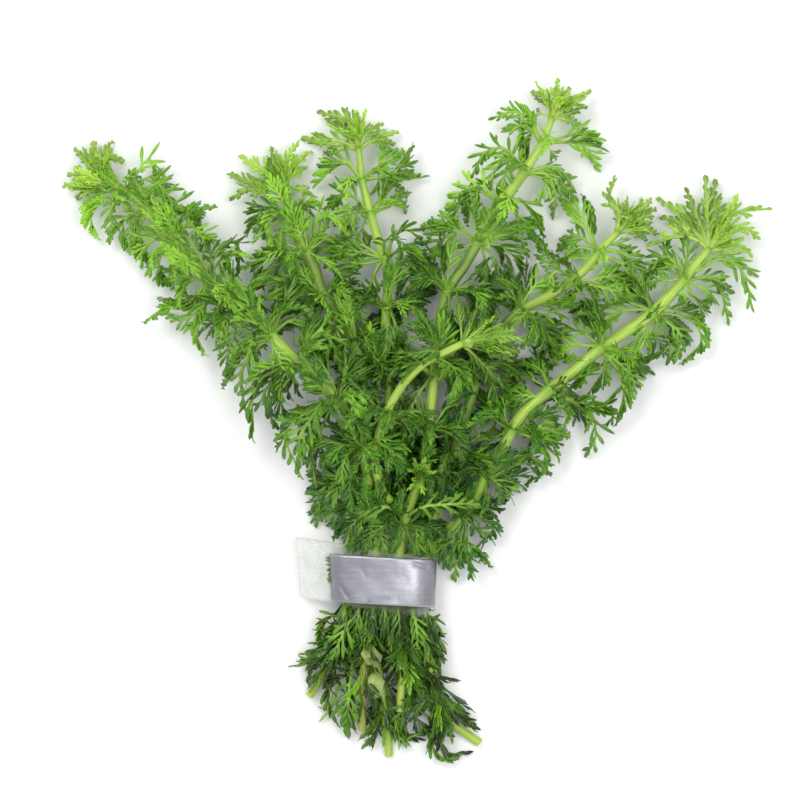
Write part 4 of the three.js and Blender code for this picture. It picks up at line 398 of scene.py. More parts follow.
# Single leaves that stand out: the piece, the node that it belongs to, the kind of leaf, how aged it
# looks and how deep in painted shade, its breadth where it isn't the usual, and the lines of the leaves
# from base to tip. There are leaf bits squeezed out of the strip's seam, a bright side bud, leaves on long
# bare stalks, bright leaves that hang over the foot, leaves over both edges of the strip, torn leaf
# sheaths, pale threads and dark curls.
LOOSE_LEAVES = [
  {"name": "seam_bits", "node": "stem_2", "kind": "wet_leaf", "age": 0.45, "lines": [
    [[-11.4, 5, 6.6], [-12.7, 5.6, 6.9], [-13.7, 5.2, 6.4]],
    [[-11.4, 3.1, 6.4], [-12.7, 3.3, 6.8], [-13.5, 2.6, 6.3]],
    [[-11.4, 0.9, 6.4], [-12.7, 0.8, 6.8], [-13.6, 0, 6.2]],
  ]},
  {"name": "side_bud", "node": "stem_4", "kind": "leaf", "age": -0.1, "lines": [
    [[9.6, 27.4, 13], [9.9, 29.5, 17.5], [10.8, 31.8, 18.4]],
    [[9.6, 27.4, 13], [9.2, 29.4, 17.8], [8.4, 31.4, 18.8]],
    [[9.4, 27.4, 13], [8.2, 28.6, 17.9], [6.4, 29.4, 18.6]],
    [[9.8, 27.2, 13], [11.2, 28.2, 17.6], [13, 28.6, 18.2]],
    [[9.5, 27, 13], [9.7, 26, 18.2], [10.5, 24, 19]], [[9.4, 27, 13], [8.4, 26, 18.1], [7, 24.6, 18.6]],
  ]},
  {"name": "long_stalk_leaf", "node": "stem_4", "kind": "leaf", "age": 0.1, "lines": [
    [[6, 17, 11.5], [10.5, 19.6, 16.5], [16, 20.2, 18], [21, 20.4, 16.5], [25, 20.2, 13]],
    [[5, 17, 11.5], [1.5, 19.4, 15.5], [-3.5, 19.8, 15.5], [-8, 17.6, 13]],
  ]},
  {"name": "bright_hanging_leaf", "node": "foot_leaves_2", "kind": "leaf", "age": 0.7, "lines": [
    [[-7.9, -22.5, 4.6], [-8.9, -28.5, 9], [-9.2, -34, 8], [-9.2, -40, 4]],
    [[-6, -7.5, 6.4], [-9, -11, 9.9], [-12, -17, 9.6], [-13.5, -21, 7]],
    [[6.6, -6.5, 6.4], [8.5, -10.5, 10.4], [9, -16, 10], [8.4, -20.5, 7]],
  ]},
  {"name": "strip_upper_leaves", "node": "stem_1", "kind": "leaf", "age": 0.7, "lines": [
    [[-2.2, 17, 12.5], [-3, 13.5, 12.2], [-4.2, 9.5, 11], [-5, 7.5, 10.2]],
    [[-2, 16.5, 12.5], [-0.8, 12.5, 12], [0.4, 9, 10.8], [1, 7.4, 10]],
    [[5.2, 15, 12.8], [4.2, 12, 12.4], [2.8, 9, 11.2], [2.2, 7.4, 10.2]],
    [[5.6, 15, 12.8], [6.8, 12, 12.2], [8.2, 9, 10.8], [9.6, 7.2, 9.6]],
    [[-8, 14, 7], [-7.5, 11.5, 9.5], [-8.2, 9, 9.8], [-9.5, 7.6, 9]],
    [[11, 13.5, 7], [11.5, 11.5, 9], [12.5, 9, 9], [13.6, 7, 7.5]],
  ]},
  {"name": "strip_lower_leaves", "node": "stem_3", "kind": "wet_leaf", "age": 0.7, "lines": [
    [[-9.5, -3, 6.8], [-10.2, -8.5, 9], [-11, -13, 8.6], [-11.5, -17, 6.5]],
    [[-6.2, -3, 7.4], [-6.4, -8.5, 9.6], [-7.2, -13, 9.2], [-8.4, -18, 7.5]],
    [[-3, -3, 7.6], [-2.6, -8.5, 9.9], [-3.2, -14, 10], [-4.6, -18.5, 8.6]],
    [[0.2, -3, 7.6], [0.6, -8.5, 9.6], [0.2, -14, 9.4], [-0.8, -19, 7.6]],
    [[3.4, -3, 7.6], [4.2, -8.5, 9.9], [4.4, -14, 10], [3.6, -19, 8.8]],
    [[7, -3, 7.2], [8, -9, 9.2], [9, -14.5, 8.6], [9, -19.5, 6.6]],
    [[10.4, -3.5, 5.8], [11.4, -9, 7.6], [12.6, -13.5, 6.8], [13, -18, 5]],
    [[-8, -2.5, 5.6], [-8.2, -6.5, 7.4], [-8.8, -10.5, 7.6], [-9.8, -14.5, 6]],
    [[-4.8, -2.5, 6], [-4.4, -6.5, 7.8], [-5, -10.5, 8], [-6.2, -14, 6.4]],
    [[-1.6, -2.5, 6.2], [-1, -6.5, 8], [-1.2, -10.5, 8.2], [-2.4, -14, 6.6]],
    [[1.8, -2.5, 6.2], [2.4, -6.5, 8], [2.2, -10.5, 8.2], [1.4, -14, 6.6]],
    [[5.2, -2.5, 6], [6.2, -6.5, 7.8], [6.4, -10.5, 8], [6, -14, 6.4]],
    [[8.8, -2.5, 5], [9.6, -6.5, 7], [10.4, -10.5, 7], [10.8, -14, 5.4]],
  ]},
  {"name": "torn_sheaths", "node": "stem_3", "kind": "sheath", "age": 0.4, "lines": [
    [[-4.4, -16.4, 9], [-3, -19.2, 11.6], [-1, -22.6, 10.4]],
    [[-2.6, -24.2, 8.4], [-1.9, -27.6, 9.6], [-2.3, -31, 7]],
  ]},
  {"name": "pale_threads", "node": "foot_leaves_2", "kind": "sheath", "age": 0.1, "breadth": 0.16, "lines": [
    [[-12, -27, 6.5], [-12.6, -31, 5.6], [-11.8, -34, 4], [-9.4, -35.6, 3]],
    [[-13.4, -29.5, 5], [-13.8, -33.5, 3.6], [-15.6, -36, 1.6], [-17, -37.6, 0.9]],
    [[-12.6, -30, 5], [-13.2, -33.4, 3.6], [-15, -34.2, 1.9], [-17.3, -33.4, 1.1]],
  ]},
  {"name": "foot_curls", "node": "foot_leaves_6", "kind": "wet_leaf", "age": 0.9, "lines": [
    [[2.5, -37, 2.4], [5, -40.2, 2], [9, -41, 1.5], [12, -38.8, 1.2]],
    [[9, -34, 3], [12.5, -36.5, 2.4], [15.6, -39.4, 1.5], [17.5, -40.6, 1]],
    [[16.5, -37.5, 2], [14.8, -42, 1.6], [17.5, -45.8, 1.2], [21.8, -45.6, 0.9]],
  ]},
]

# How far single leaves are tilted
LOOSE_TILT = 0.3

# How far along a shoot the four radii are
RADIUS_PLACES = [0, 0.12, 0.7, 1]

# Drawn leaves: their arch, the height of their tips as a share of their stem's height, the slope
# they start at and how far they roll to one side, each from the least to the most, and how far a
# leaf may twist on its way
ARCHES = (0.6, 2.2)
TIP_HEIGHTS = (0.2, 0.9)
START_SLOPES = (-0.4, 0.6)
ROLLS = (-0.45, 0.45)
MOST_TWIST = 0.9

# How many leaves are folded along their midribs and stand on edge, so that their lobes all point
# outward like a comb, how far those turn and fold, and how far other leaves fold
COMBED_LEAVES = 0.45
COMB_ROLL = 1.5
COMB_FOLD = 0.95
PLAIN_FOLD = 0.2

# Leaves that are grown by rule. A pair of angles is a leaf's angle to its stem where it starts and
# where it ends. Lengths are the least and the most, as shares of the whorl's reach. Turns round the
# stem and sways to one side are how far chance takes them. Droop bends a leaf down on its way, and
# its upper side turns up the more, the more it stands out sideways.
SWAY = 0.5
FACE_UP = 1.2

# Leaves round a whorl: first the wild ones, all round the stem where there are at least as many as
# in a round whorl and otherwise spread over its upper side, and then those that fill it
ROUND_ANGLES = (0.95, 2.5)
ROUND_TIP_ANGLES = (0.45, 1.6)
ROUND_ANGLE_CHANCE = (0.15, 0.3)
ROUND_DROOP = 0.7
ROUND_WHORL = 4
UPPER_SPREAD = 2.4
WILD_LENGTHS = (0.8, 1.1)
FILL_LENGTHS = (0.6, 0.95)
FILL_TURN = 0.2

# Wet strands that hang from a whorl below the strip, spread some way along the stem
FOOT_LEAVES = 28
FOOT_SPREAD = 6
STRAND_ANGLES = (0.45, 0.8)
STRAND_ANGLE_CHANCE = (0.2, 0.35)
STRAND_LENGTHS = (0.55, 1)
STRAND_TURN = 1.3
STRAND_DROOP = 0.45

# Leaves that lie along a stem and cover it, more of them on stem_1. One of them points back, above the
# given row. Each stem is covered up to a row, except between the rows where the photograph shows it
# bare.
COVER_LEAVES = 4
STEM_1_COVER_LEAVES = 6
COVERED_BELOW = {"stem_1": 200, "stem_2": 100, "stem_3": 74, "stem_4": 90, "stem_5": 68, "stem_6": 36}
UNCOVERED = {"stem_1": (48, 57), "stem_4": (30, 45)}
COVER_ANGLES = (0.75, 0.35)
COVER_LENGTHS = (0.85, 1.1)
COVER_TURN = 0.6
COVER_SWAY = 0.4
COVER_DROOP = 0.45
BACK_LEAF = 2
BACK_ROW = 24
BACK_ANGLES = (2.2, 2.9)

# Plain leaves low at both sides of a stem, where the bunch is thickest, given low tones as painted shade
UNDER_LEAVES = 7
UNDER_TURNS = (1.3, 2.4)
UNDER_ANGLES = ((0.7, 1.3), (1.2, 2.2))
UNDER_LENGTHS = (0.9, 1.15)
UNDER_DROOP = 0.9
UNDER_SHADE_TONES = (0, 0.25)

# The bud in a tip: its leaves go round in even turns, and each is a little more open than the last
BUD_LEAVES = 13
BUD_TURN = 2.4
BUD_ANGLES = (0.1, 0.15)
BUD_OPENING = (0.045, 0.08)
BUD_LENGTHS = (0.6, 0.95)
BUD_SWAY = 0.2
BUD_BREADTH = 0.75
BUD_TONES = (0.4, 1)

# How aged the leaves look from row to row, darker in the lower rows partly from growing older and partly
# as painted shade; how much more painted shade darkens the upper middle of the bunch, where it is thickest,
# and how far from which column that reaches; how far chance changes it; and the ages below the strip,
# where a few leaves are still bright
ROW_AGES_AND_SHADE = ([10, 60, 105], [1, 0.6, 0.05])
MIDDLE_SHADE = ([50, 70, 95, 108], [0, 0.35, 0.35, 0])
MIDDLE_COLUMN = (12, 22)
AGE_CHANCE = 0.12
DARK_AGES = (0.4, 1.2)
BRIGHT_AGES = (-0.3, 0.2)
BRIGHT_FOOT_LEAVES = 0.22

# The rows where the bunch is thickest, and how many leaves a whorl has there and elsewhere
MIDDLE_ROWS = (8, 78)
MIDDLE_LEAVES = 15
OUTER_LEAVES = 10

# How far apart the numbers are that leaves, whorls and shoots take their chance from, and the first
# number of each kind of leaf in a whorl
LEAF_SEEDS = 10
WHORL_SEEDS = 100
WILD_SEEDS = 600
SHOOT_SEEDS = 1000
LOOSE_SEEDS = 9000
FIRST_NUMBERS = {"drawn": 1, "round": 50, "strand": 50, "under": 60, "bud": 80, "cover": 90}

# Leaf blades: the length that patterns are drawn at, the least and most scale, how many places a
# leaf's line has, how far chance folds a leaf and its lobes, how far long lobes sag, the lowest place
# of a leaf's line, how softly leaves meet the floor, and the highest place of a leaf
FULL_LEAF = 13.0
LEAF_SCALES = (0.55, 1.2)
LEAF_STEPS = 24
FOLD_CHANCE = 0.3
LOBE_SAGS = (-0.01, 0.07)
LOWEST_LEAF = 0.5
FLOOR_SOFTNESS = 0.4
HIGHEST_LEAF = 32.4

# A midrib's thickness at its base and how much of it is lost on the way, how broad it clasps the
# stem and over which share of its length, and where the end lobe starts, with its length and width as
# shares of the longest lobe's
RIB_THICKNESS = 0.5
RIB_THINNING = 0.25
CLASP_BREADTH = 0.4
CLASP_SHARE = 0.09
END_LOBE_SHARE = 0.94
END_LOBE_LENGTH = 0.6
END_LOBE_WIDTH = 1.1

# A lobe's half widths along it as shares of its width, how far chance turns it, how far it curves
# back to the leaf's own direction, the size from which it has all its side lobes, where these stand,
# and their turn, lengths and half widths
LOBE_WIDTHS = ([0, 0.15, 0.5, 0.82, 1], [0.36, 0.28, 0.5, 0.38, 0.06])
LOBE_ANGLES = (-0.12, 0.12)
LOBE_CURVES = (-0.2, 1.1)
LONG_LOBE = 0.8
LOBE_LENGTHS = (0.85, 1.12)
LOBE_THICKNESS = 0.22
SIDE_LOBES = [[], [(0.42, 0.54)], [(0.34, 0.45), (0.56, 0.68)]]
SIDE_LOBE_TURN = 0.5
SIDE_LOBE_LENGTHS = (0.24, 0.34)
SIDE_LOBE_WIDTHS = ((0.5, 0.36), (1, 0.08))

# A torn leaf sheath's half widths along it, and how uneven its edges are
SHEATH_SHARES = [0, 0.15, 0.35, 0.55, 0.75, 0.9, 1]
SHEATH_HALF_WIDTHS = [0.9, 2.4, 3.4, 3.1, 3.4, 2.2, 0.6]
SHEATH_EDGES = (0.75, 1.2)

# Stems: their steps and sides, their ribs, which fade at the swollen nodes, the scale of their streaks
# round and along them, and the rings of a cut, each with its breadth, how deep it is sunk and how pale
# it is
STEM_STEP = 0.7
STEM_SIDES = 20
RIB_COUNT = 7
RIB_DEPTH = 0.035
RIB_FADE = 0.6
NODE_SWELLING = 0.16
NODE_LENGTH = 1.1
STREAKS_ROUND = 3
STREAKS_ALONG = 0.12
CUT_RINGS = ((0.86, 0.0, 0.3), (0.8, 0.12, 1.0), (0.3, 0.2, 1.0), (0.16, 0.5, 0.2))

# How brown the stems are towards their cut ends and from where on, and the rows where they are dull
BROWNED = {"stem_1": 0.75, "stem_2": 0.3}
LEAST_BROWN = 0.1
LOW_STEM = (0.7, 1.0)
DULL_ROWS = {"stem_2": (60, 92), "stem_4": (55, 94), "stem_5": (35, 78)}
DULL_FADE = 8

# Weight strip, an open oval ring seen along the stems, and the foam wound inside it
STRIP_BREADTH = 12.7
STRIP_THICKNESS = 0.9
STRIP_HALF_WIDTH = 14
STRIP_HALF_HEIGHT = 5.8
STRIP_FLAT = 0.3
STRIP_SKEW = -0.056
STRIP_FLARE = 0.0037
STRIP_WAVINESS = 0.06
OVAL_POWER = 0.72
SEAM_HALF_ANGLE = 0.16
FOAM_BREADTH = 16
FOAM_THICKNESS = 1.2
FOAM_TAIL_THICKNESS = 1.8
FOAM_CLEARANCE = 0.48
FOAM_SKEW = -0.16
FOAM_WAVINESS = 0.1
FOAM_START_ANGLE = 0.4
FOAM_END_ANGLE = 0.08
FOAM_TAIL = [[-13.4, 5.45], [-17.5, 4.7], [-21.8, 3.2]]

# How soaked the foam is from column to column, and by how much more at its lower edge
FOAM_SOAKED = ([-15, -10, 8, 12], [0, 1, 1, 0.2])
FOAM_LOWER_EDGE = ([-6.5, -5.5], [1.4, 1])

# Both sheets: the breadth of their rounded edges and the half thickness there as a share, how far in
# from its edges the strip is worn and lightened with a painted highlight, their rows and steps, and the
# waves of their dents across, along and shifted
SHEET_EDGE = 0.22
SHEET_EDGE_HALF = 0.22
RUBBED_HIGHLIT_EDGE = 0.3
SHEET_ROWS = 24
STRIP_STEPS = 160
FOAM_STEPS = 80
DENT_WAVES = ((0.9, 0.35, 0), (0, 0.5, 1.3))

# Marks sunk into the strip's top, each from one plan place to another, with its half width and
# depth: a crease, a scratch, a nick, a dent at the right end, one near the lower edge and two wide
# shallow ones. Each one is also darkened with painted shade.
STRIP_MARKS = [
    [(-11.3, -1.4), (-9.2, -4.4), 0.45, 0.22], [(-5.4, 3.0), (-4.4, 1.2), 0.45, 0.2],
    [(-4.2, -6.1), (-3.9, -5.5), 0.3, 0.35], [(8.4, 4.6), (11.4, 3.6), 0.55, 0.25],
    [(-0.5, -5.0), (1.6, -4.8), 0.45, 0.16], [(-8.0, 4.4), (-1.0, 4.0), 1.1, 0.05],
    [(-12.5, 3.5), (-10.5, -4.0), 4.2, 0.02],
]

# Leaf finishes: the colours of young leaves, of aged leaves, which also stand for painted shade deep in the
# bunch, and of midribs, the share of light that comes through from behind, the least and most roughness,
# and how wet they look where it isn't the usual. A leaf's tone changes its brightness and its hue from the
# first value to the second.
LEAF_FINISHES = {
    "young_leaf": {
        "name": "young_leaf", "young": (0.41, 0.69, 0.06), "old_and_shaded": (0.15, 0.39, 0.028),
        "rib": (0.58, 0.79, 0.17), "glow": 0.3, "roughness": (0.22, 0.4),
    },
    "leaf": {
        "name": "grown_leaf", "young": (0.29, 0.64, 0.035), "old_and_shaded": (0.02, 0.15, 0.008),
        "rib": (0.48, 0.74, 0.12), "glow": 0.28, "roughness": (0.16, 0.34),
    },
    "wet_leaf": {
        "name": "wet_leaf", "young": (0.16, 0.41, 0.015), "old_and_shaded": (0.005, 0.026, 0.002),
        "rib": (0.17, 0.33, 0.02), "glow": 0.14, "roughness": (0.06, 0.2), "wet": 0.4,
    },
    "sheath": {
        "name": "pale_sheath", "young": (0.5, 0.6, 0.16), "old_and_shaded": (0.28, 0.42, 0.07),
        "rib": (0.62, 0.7, 0.3), "glow": 0.3, "roughness": (0.2, 0.4),
    },
}
TONE_VALUES = (0.42, 1.55)
TONE_HUES = (0.52, 0.488)

# Where most of a noise lies, and how deep fine bumps are in metres
NOISE_RANGE = (0.3, 0.7)
FINE_BUMP = 0.0002

# Colours of the stems, the strip and the foam
STEM_COLOURS = {
    "green": (0.28, 0.48, 0.045), "streak": (0.5, 0.67, 0.1), "aged": (0.26, 0.38, 0.045),
    "node": (0.22, 0.46, 0.035), "dull": (0.15, 0.27, 0.03), "brown": (0.5, 0.32, 0.08),
    "pith": (0.62, 0.66, 0.26),
}
# The lightest strip colour is worn metal and a painted edge highlight, and the deepest is painted shade in
# the dents
STRIP_COLOURS = {
    "clean": (0.33, 0.33, 0.36), "smudged": (0.24, 0.24, 0.26), "drawn": (0.37, 0.37, 0.41),
    "rubbed_and_highlit": (0.55, 0.55, 0.6), "painted_dent_shade": (0.2, 0.2, 0.22),
}
FOAM_COLOURS = {"milky": (1.0, 1.0, 0.98), "cloudy": (0.92, 0.94, 0.91), "grain": (0.84, 0.87, 0.83)}

# Floor, lights and surroundings in metres and watts. A light has its name, place, size, power and
# colour. The camera looks straight down from afar, and at the height of the scale plane it frames what
# the photograph does. The sensor's width is in millimetres.
FLOOR_SIZE = 6
FLOOR_COLOUR = (0.93, 0.93, 0.92)
FLOOR_ROUGHNESS = 0.7
LIGHTS = [
    ("key", (-0.5, 0.6, 1.3), 0.5, 6.5, (1.0, 0.985, 0.96)),
    ("fill", (0.55, 0.05, 1.6), 0.6, 5.5, (1.0, 0.98, 1.0)),
]
ROOM_COLOUR = (0.97, 0.98, 1.0)
ROOM_LIGHT = 0.94
CAMERA_HEIGHT = 2.0
CAMERA_REACH = 20
SENSOR = 36.0
SCALE_PLANE = 0.010


def chance(n):
    """A repeatable number from 0 to 1 for each whole number."""
    value = math.sin(n * 12.9898 + 4.1) * 43758.5453
    return value - math.floor(value)


def within(limits, n):
    return limits[0] + (limits[1] - limits[0]) * chance(n)


def unit(vectors):
    return vectors / np.maximum(np.linalg.norm(vectors, axis=-1, keepdims=True), 1e-9)


def smooth_line(points, step=None, count=None):
    """A smooth curve through points, at even steps or as a given number of points."""
    points = np.asarray(points, float)
    padded = np.vstack([2 * points[0] - points[1], points, 2 * points[-1] - points[-2]])
    t = np.linspace(0, 1, 12, endpoint=False)[:, None]
    rows = []
    for p0, p1, p2, p3 in zip(padded, padded[1:], padded[2:], padded[3:]):
        bend = 2 * p0 - 5 * p1 + 4 * p2 - p3
        twist = -p0 + 3 * p1 - 3 * p2 + p3
        rows.append(0.5 * (2 * p1 + (p2 - p0) * t + bend * t**2 + twist * t**3))
    line = np.vstack([*rows, points[-1:]])
    way = np.concatenate([[0], np.cumsum(np.linalg.norm(np.diff(line, axis=0), axis=1))])
    count = count or int(way[-1] / step) + 2
    even = np.linspace(0, way[-1], count)
    return np.stack([np.interp(even, way, line[:, k]) for k in range(line.shape[1])], axis=1)


def make_mesh(name, points, faces, attributes, material):
    """One object from points in millimetres, arrays of faces, and numbers or vectors for each point."""
    mesh = bpy.data.meshes.new(name)
    sizes = np.concatenate([np.full(len(part), part.shape[1]) for part in faces])
    corners = np.concatenate([part.ravel() for part in faces])
    mesh.vertices.add(len(points))
    mesh.vertices.foreach_set("co", ((points - BUNCH_MIDDLE) * MM).ravel())
    mesh.loops.add(len(corners))
    mesh.loops.foreach_set("vertex_index", corners)
    mesh.polygons.add(len(sizes))
    mesh.polygons.foreach_set("loop_start", np.concatenate([[0], np.cumsum(sizes)[:-1]]))
    mesh.polygons.foreach_set("use_smooth", np.ones(len(sizes), bool))
    for key, values in attributes.items():
        kind = "FLOAT" if values.ndim == 1 else "FLOAT_VECTOR"
        layer = mesh.attributes.new(key, kind, "POINT")
        layer.data.foreach_set("value" if kind == "FLOAT" else "vector", values.ravel())
    mesh.update(calc_edges=True)
    mesh.validate()
    mesh.materials.append(material)
    piece = bpy.data.objects.new(name, mesh)
    bpy.context.scene.collection.objects.link(piece)
    return piece


def dress(piece, slot, node):
    """Says what a piece rides on and hides the imported part of its node. The slot is not used."""
    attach(piece, "root")
    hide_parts(node)


class LeafPattern:
    """The flat outline of a divided leaf, grown strip by strip, and its closed skin.

    A point has its place on a flat leaf of full length, across to the right of the midrib and along
    it, in millimetres. It is carried by the place on the midrib that its share names.
    """

    def __init__(self, seed):
        self.random = np.random.default_rng(seed)
        self.rows = []
        self.quads = []
        self.lobes = 0

    def point(self, share, across, along, lobe, reach, rib, thick):
        self.rows.append((share, across, along, lobe, reach, rib, thick))
        return len(self.rows) - 1

    def place(self, i):
        return np.array(self.rows[i][1:3])

    def strip(self, edge, share, lobe, heading, turn, length, stations, ribs):
        """A strip out of an edge, whose right end comes first. Stations are shares with half widths."""
        start = (self.place(edge[0]) + self.place(edge[1])) / 2
        reach = self.rows[edge[0]][4]
        before = 0
        centre = start.copy()
        pairs = [edge]
        for way, half_width in stations:
            angle = heading + turn * way
            forward = np.array([math.sin(angle), math.cos(angle)])
            centre = centre + forward * length * (way - before)
            before = way
            left = np.array([-forward[1], forward[0]]) * half_width
            rib = ribs[0] + (ribs[1] - ribs[0]) * way
            pair = []
            for sign in (-1, 1):
                flat = centre + sign * left
                pair.append(self.point(share, *flat, lobe, reach + length * way, rib, LOBE_THICKNESS))
            a, b = pairs[-1]
            self.quads.append((a, pair[0], pair[1], b))
            pairs.append(tuple(pair))
        return pairs

    def lobe(self, edge, share, side, angle, length, width, teeth):
        """A slender lobe with short side lobes on its right and left by turns."""
        lobe = self.lobes
        self.lobes += 1
        heading = side * angle
        turn = -heading * self.random.uniform(*LOBE_CURVES)
        bases = SIDE_LOBES[teeth]
        ways = sorted({*LOBE_WIDTHS[0][1:], *(way for base in bases for way in base)})
        stations = [(way, width * np.interp(way, *LOBE_WIDTHS)) for way in ways]
        pairs = self.strip(edge, share, lobe, heading, turn, length, stations, (0.5, 0))
        side_stations = [(way, width * half) for way, half in SIDE_LOBE_WIDTHS]
        for number, base in enumerate(bases):
            low, high = pairs[ways.index(base[0]) + 1], pairs[ways.index(base[1]) + 1]
            right = (number % 2 == 0) == (side > 0)
            start = (low[0], high[0]) if right else (high[1], low[1])
            away = heading + turn * base[0] + (SIDE_LOBE_TURN if right else -SIDE_LOBE_TURN)
            reach = length * self.random.uniform(*SIDE_LOBE_LENGTHS)
            self.strip(start, share, lobe, away, 0, reach, side_stations, (0.2, 0))

    def closed(self):
        """Arrays of the points' values and of the quads of the closed skin, bottom points last."""
        rows = np.array(self.rows)
        rows[:, 2] -= rows[:, 0] * FULL_LEAF
        quads = np.array(self.quads)
        count = len(rows)
        edges = {(a, b) for quad in quads for a, b in zip(quad, np.roll(quad, -1))}
        rim = [(b, a, a + count, b + count) for a, b in sorted(edges) if (b, a) not in edges]
        bottom = quads[:, ::-1] + count
        return rows, np.vstack([quads, bottom, np.array(rim)])


def lobe_size(part):
    """A lobe's length as a share of the longest one's, by its place between petiole and tip."""
    return 0.5 + 0.5 * math.sin(math.pi * min(part * 1.2 + 0.15, 1))


def divided_leaf(seed, petiole, pairs, length, width, angles, teeth, rib_width=0.34):
    """A leaf with alternate lobes down both sides of its midrib, and its closed skin."""
    leaf = LeafPattern(seed)
    shares = [0, petiole * 0.4, petiole, *np.linspace(petiole, END_LOBE_SHARE, 2 * pairs + 2)[1:]]
    ribs = []
    for share in shares:
        clasp = CLASP_BREADTH * max(0, 1 - share / CLASP_SHARE)
        half = rib_width * (1 - 0.6 * share) + clasp
        thick = RIB_THICKNESS - RIB_THINNING * share
        ribs.append([leaf.point(share, sign * half, share * FULL_LEAF, -1, 0, 1 - 0.5 * share, thick)
                     for sign in (-1, 1)])
    for low, high in zip(ribs, ribs[1:]):
        leaf.quads.append((low[0], low[1], high[1], high[0]))
    blade = ribs[2:]
    for number, (low, high) in enumerate(zip(blade, blade[1:])):
        part = (number + 0.5) / (len(blade) - 1)
        share = (leaf.rows[low[0]][0] + leaf.rows[high[0]][0]) / 2
        side = 1 if number % 2 == 0 else -1
        edge = (low[1], high[1]) if side > 0 else (high[0], low[0])
        size = lobe_size(part)
        angle = angles[0] + (angles[1] - angles[0]) * part + leaf.random.uniform(*LOBE_ANGLES)
        count = teeth if size > LONG_LOBE else max(teeth - 1, 0)
        reach = length * size * leaf.random.uniform(*LOBE_LENGTHS)
        leaf.lobe(edge, share, side, angle, reach, width, count)
    tip = (ribs[-1][1], ribs[-1][0])
    leaf.lobe(tip, END_LOBE_SHARE, 1, 0.0, length * END_LOBE_LENGTH, width * END_LOBE_WIDTH, teeth)
    return leaf.closed()


def torn_sheath(seed):
    """A broad scrap of leaf base with an uneven edge, and its closed skin."""
    scrap = LeafPattern(seed)
    rows = []
    for share, half in zip(SHEATH_SHARES, SHEATH_HALF_WIDTHS):
        across = [sign * half * scrap.random.uniform(*SHEATH_EDGES) for sign in (-1, 0, 1)]
        along = share * FULL_LEAF
        rows.append([scrap.point(share, x, along, -1, 0, abs(x) / 4, LOBE_THICKNESS) for x in across])
    for low, high in zip(rows, rows[1:]):
        for k in range(2):
            scrap.quads.append((low[k], low[k + 1], high[k + 1], high[k]))
    return scrap.closed()


# Leaf patterns, each from its seed, the petiole's share of its length, its pairs of lobes, the length
# and width of the longest lobe, the lobes' angles at the base and at the tip, how many side lobes they
# have, and the midrib's half width where it isn't the usual
OLD_LEAVES = [
    divided_leaf(1, 0.28, 5, 4.6, 0.90, (0.95, 0.45), 1),
    divided_leaf(2, 0.32, 4, 5.4, 0.92, (0.85, 0.35), 1),
    divided_leaf(3, 0.24, 6, 3.9, 0.76, (1.0, 0.5), 0),
    divided_leaf(4, 0.30, 5, 4.6, 0.95, (0.75, 0.4), 2),
    divided_leaf(5, 0.36, 4, 5.2, 0.86, (0.9, 0.4), 0),
    divided_leaf(6, 0.30, 5, 5.2, 0.78, (0.7, 0.3), 1),
]
YOUNG_LEAVES = [
    divided_leaf(11, 0.20, 5, 3.2, 0.92, (0.7, 0.35), 1, 0.5),
    divided_leaf(12, 0.26, 4, 3.6, 0.92, (0.6, 0.3), 1, 0.45),
    divided_leaf(13, 0.16, 6, 2.8, 0.80, (0.75, 0.4), 0, 0.48),
]
WET_LEAVES = [
    divided_leaf(21, 0.22, 4, 5.6, 0.80, (0.4, 0.2), 0),
    divided_leaf(22, 0.30, 4, 5.0, 0.95, (0.55, 0.25), 0),
    divided_leaf(23, 0.16, 5, 4.6, 0.75, (0.35, 0.15), 0),
]
PLAIN_LEAVES = [OLD_LEAVES[2], OLD_LEAVES[4], WET_LEAVES[1]]
LOOSE_PATTERNS = {"leaf": OLD_LEAVES, "wet_leaf": WET_LEAVES, "sheath": [torn_sheath(31), torn_sheath(32)]}


class Foliage:
    """Leaves gathered into one mesh."""

    def __init__(self):
        self.points = []
        self.faces = []
        self.values = {"rib": [], "age": [], "tone": []}
        self.count = 0

    def add(self, line, face, pattern, seed, age, fold=PLAIN_FOLD, breadth=1.0, tones=(0, 1)):
        """A leaf of a pattern along a line, its upper side towards the face directions."""
        random = np.random.default_rng(seed)
        rows, quads = pattern
        length = np.linalg.norm(np.diff(line, axis=0), axis=1).sum()
        scale = np.clip(length / FULL_LEAF, *LEAF_SCALES)
        forward = unit(np.gradient(line, axis=0))
        above = unit(face - (face * forward).sum(axis=1, keepdims=True) * forward)
        side = np.cross(forward, above)
        share, across, along, lobe, reach, rib, thick = rows.T
        at = share * (len(line) - 1)
        low = np.minimum(at.astype(int), len(line) - 2)
        part = (at - low)[:, None]
        place = line[low] * (1 - part) + line[low + 1] * part
        ahead = unit(forward[low] * (1 - part) + forward[low + 1] * part)
        right = unit(side[low] * (1 - part) + side[low + 1] * part)
        over = np.cross(right, ahead)
        fold = random.normal(fold, FOLD_CHANCE)
        pitches = np.append(fold + random.normal(0, FOLD_CHANCE, int(lobe.max()) + 1), 0)
        tilt = pitches[lobe.astype(int)]
        sag = random.uniform(*LOBE_SAGS) * reach**2
        rise = np.abs(across) * np.sin(tilt) - sag
        flat = (
            place
            + ahead * (along * scale)[:, None]
            + right * (across * scale * breadth * np.cos(tilt))[:, None]
            + over * (rise * scale)[:, None]
        )
        half = over * (thick * scale / 2)[:, None]
        points = np.vstack([flat + half, flat - half])
        height = points[:, 2]
        height = (height + np.sqrt(height**2 + FLOOR_SOFTNESS**2)) / 2
        points[:, 2] = np.minimum(height, HIGHEST_LEAF)
        self.points.append(points)
        self.faces.append(quads + self.count)
        self.count += len(points)
        self.values["rib"].append(np.tile(rib, 2))
        self.values["age"].append(np.full(len(points), age))
        self.values["tone"].append(np.full(len(points), random.uniform(*tones)))

    def make(self, name, material):
        values = {key: np.concatenate(parts) for key, parts in self.values.items()}
        return make_mesh(name, np.vstack(self.points), [np.vstack(self.faces)], values, material)


def radius_at(shoot, share):
    return np.interp(share, RADIUS_PLACES, shoot["radii"])


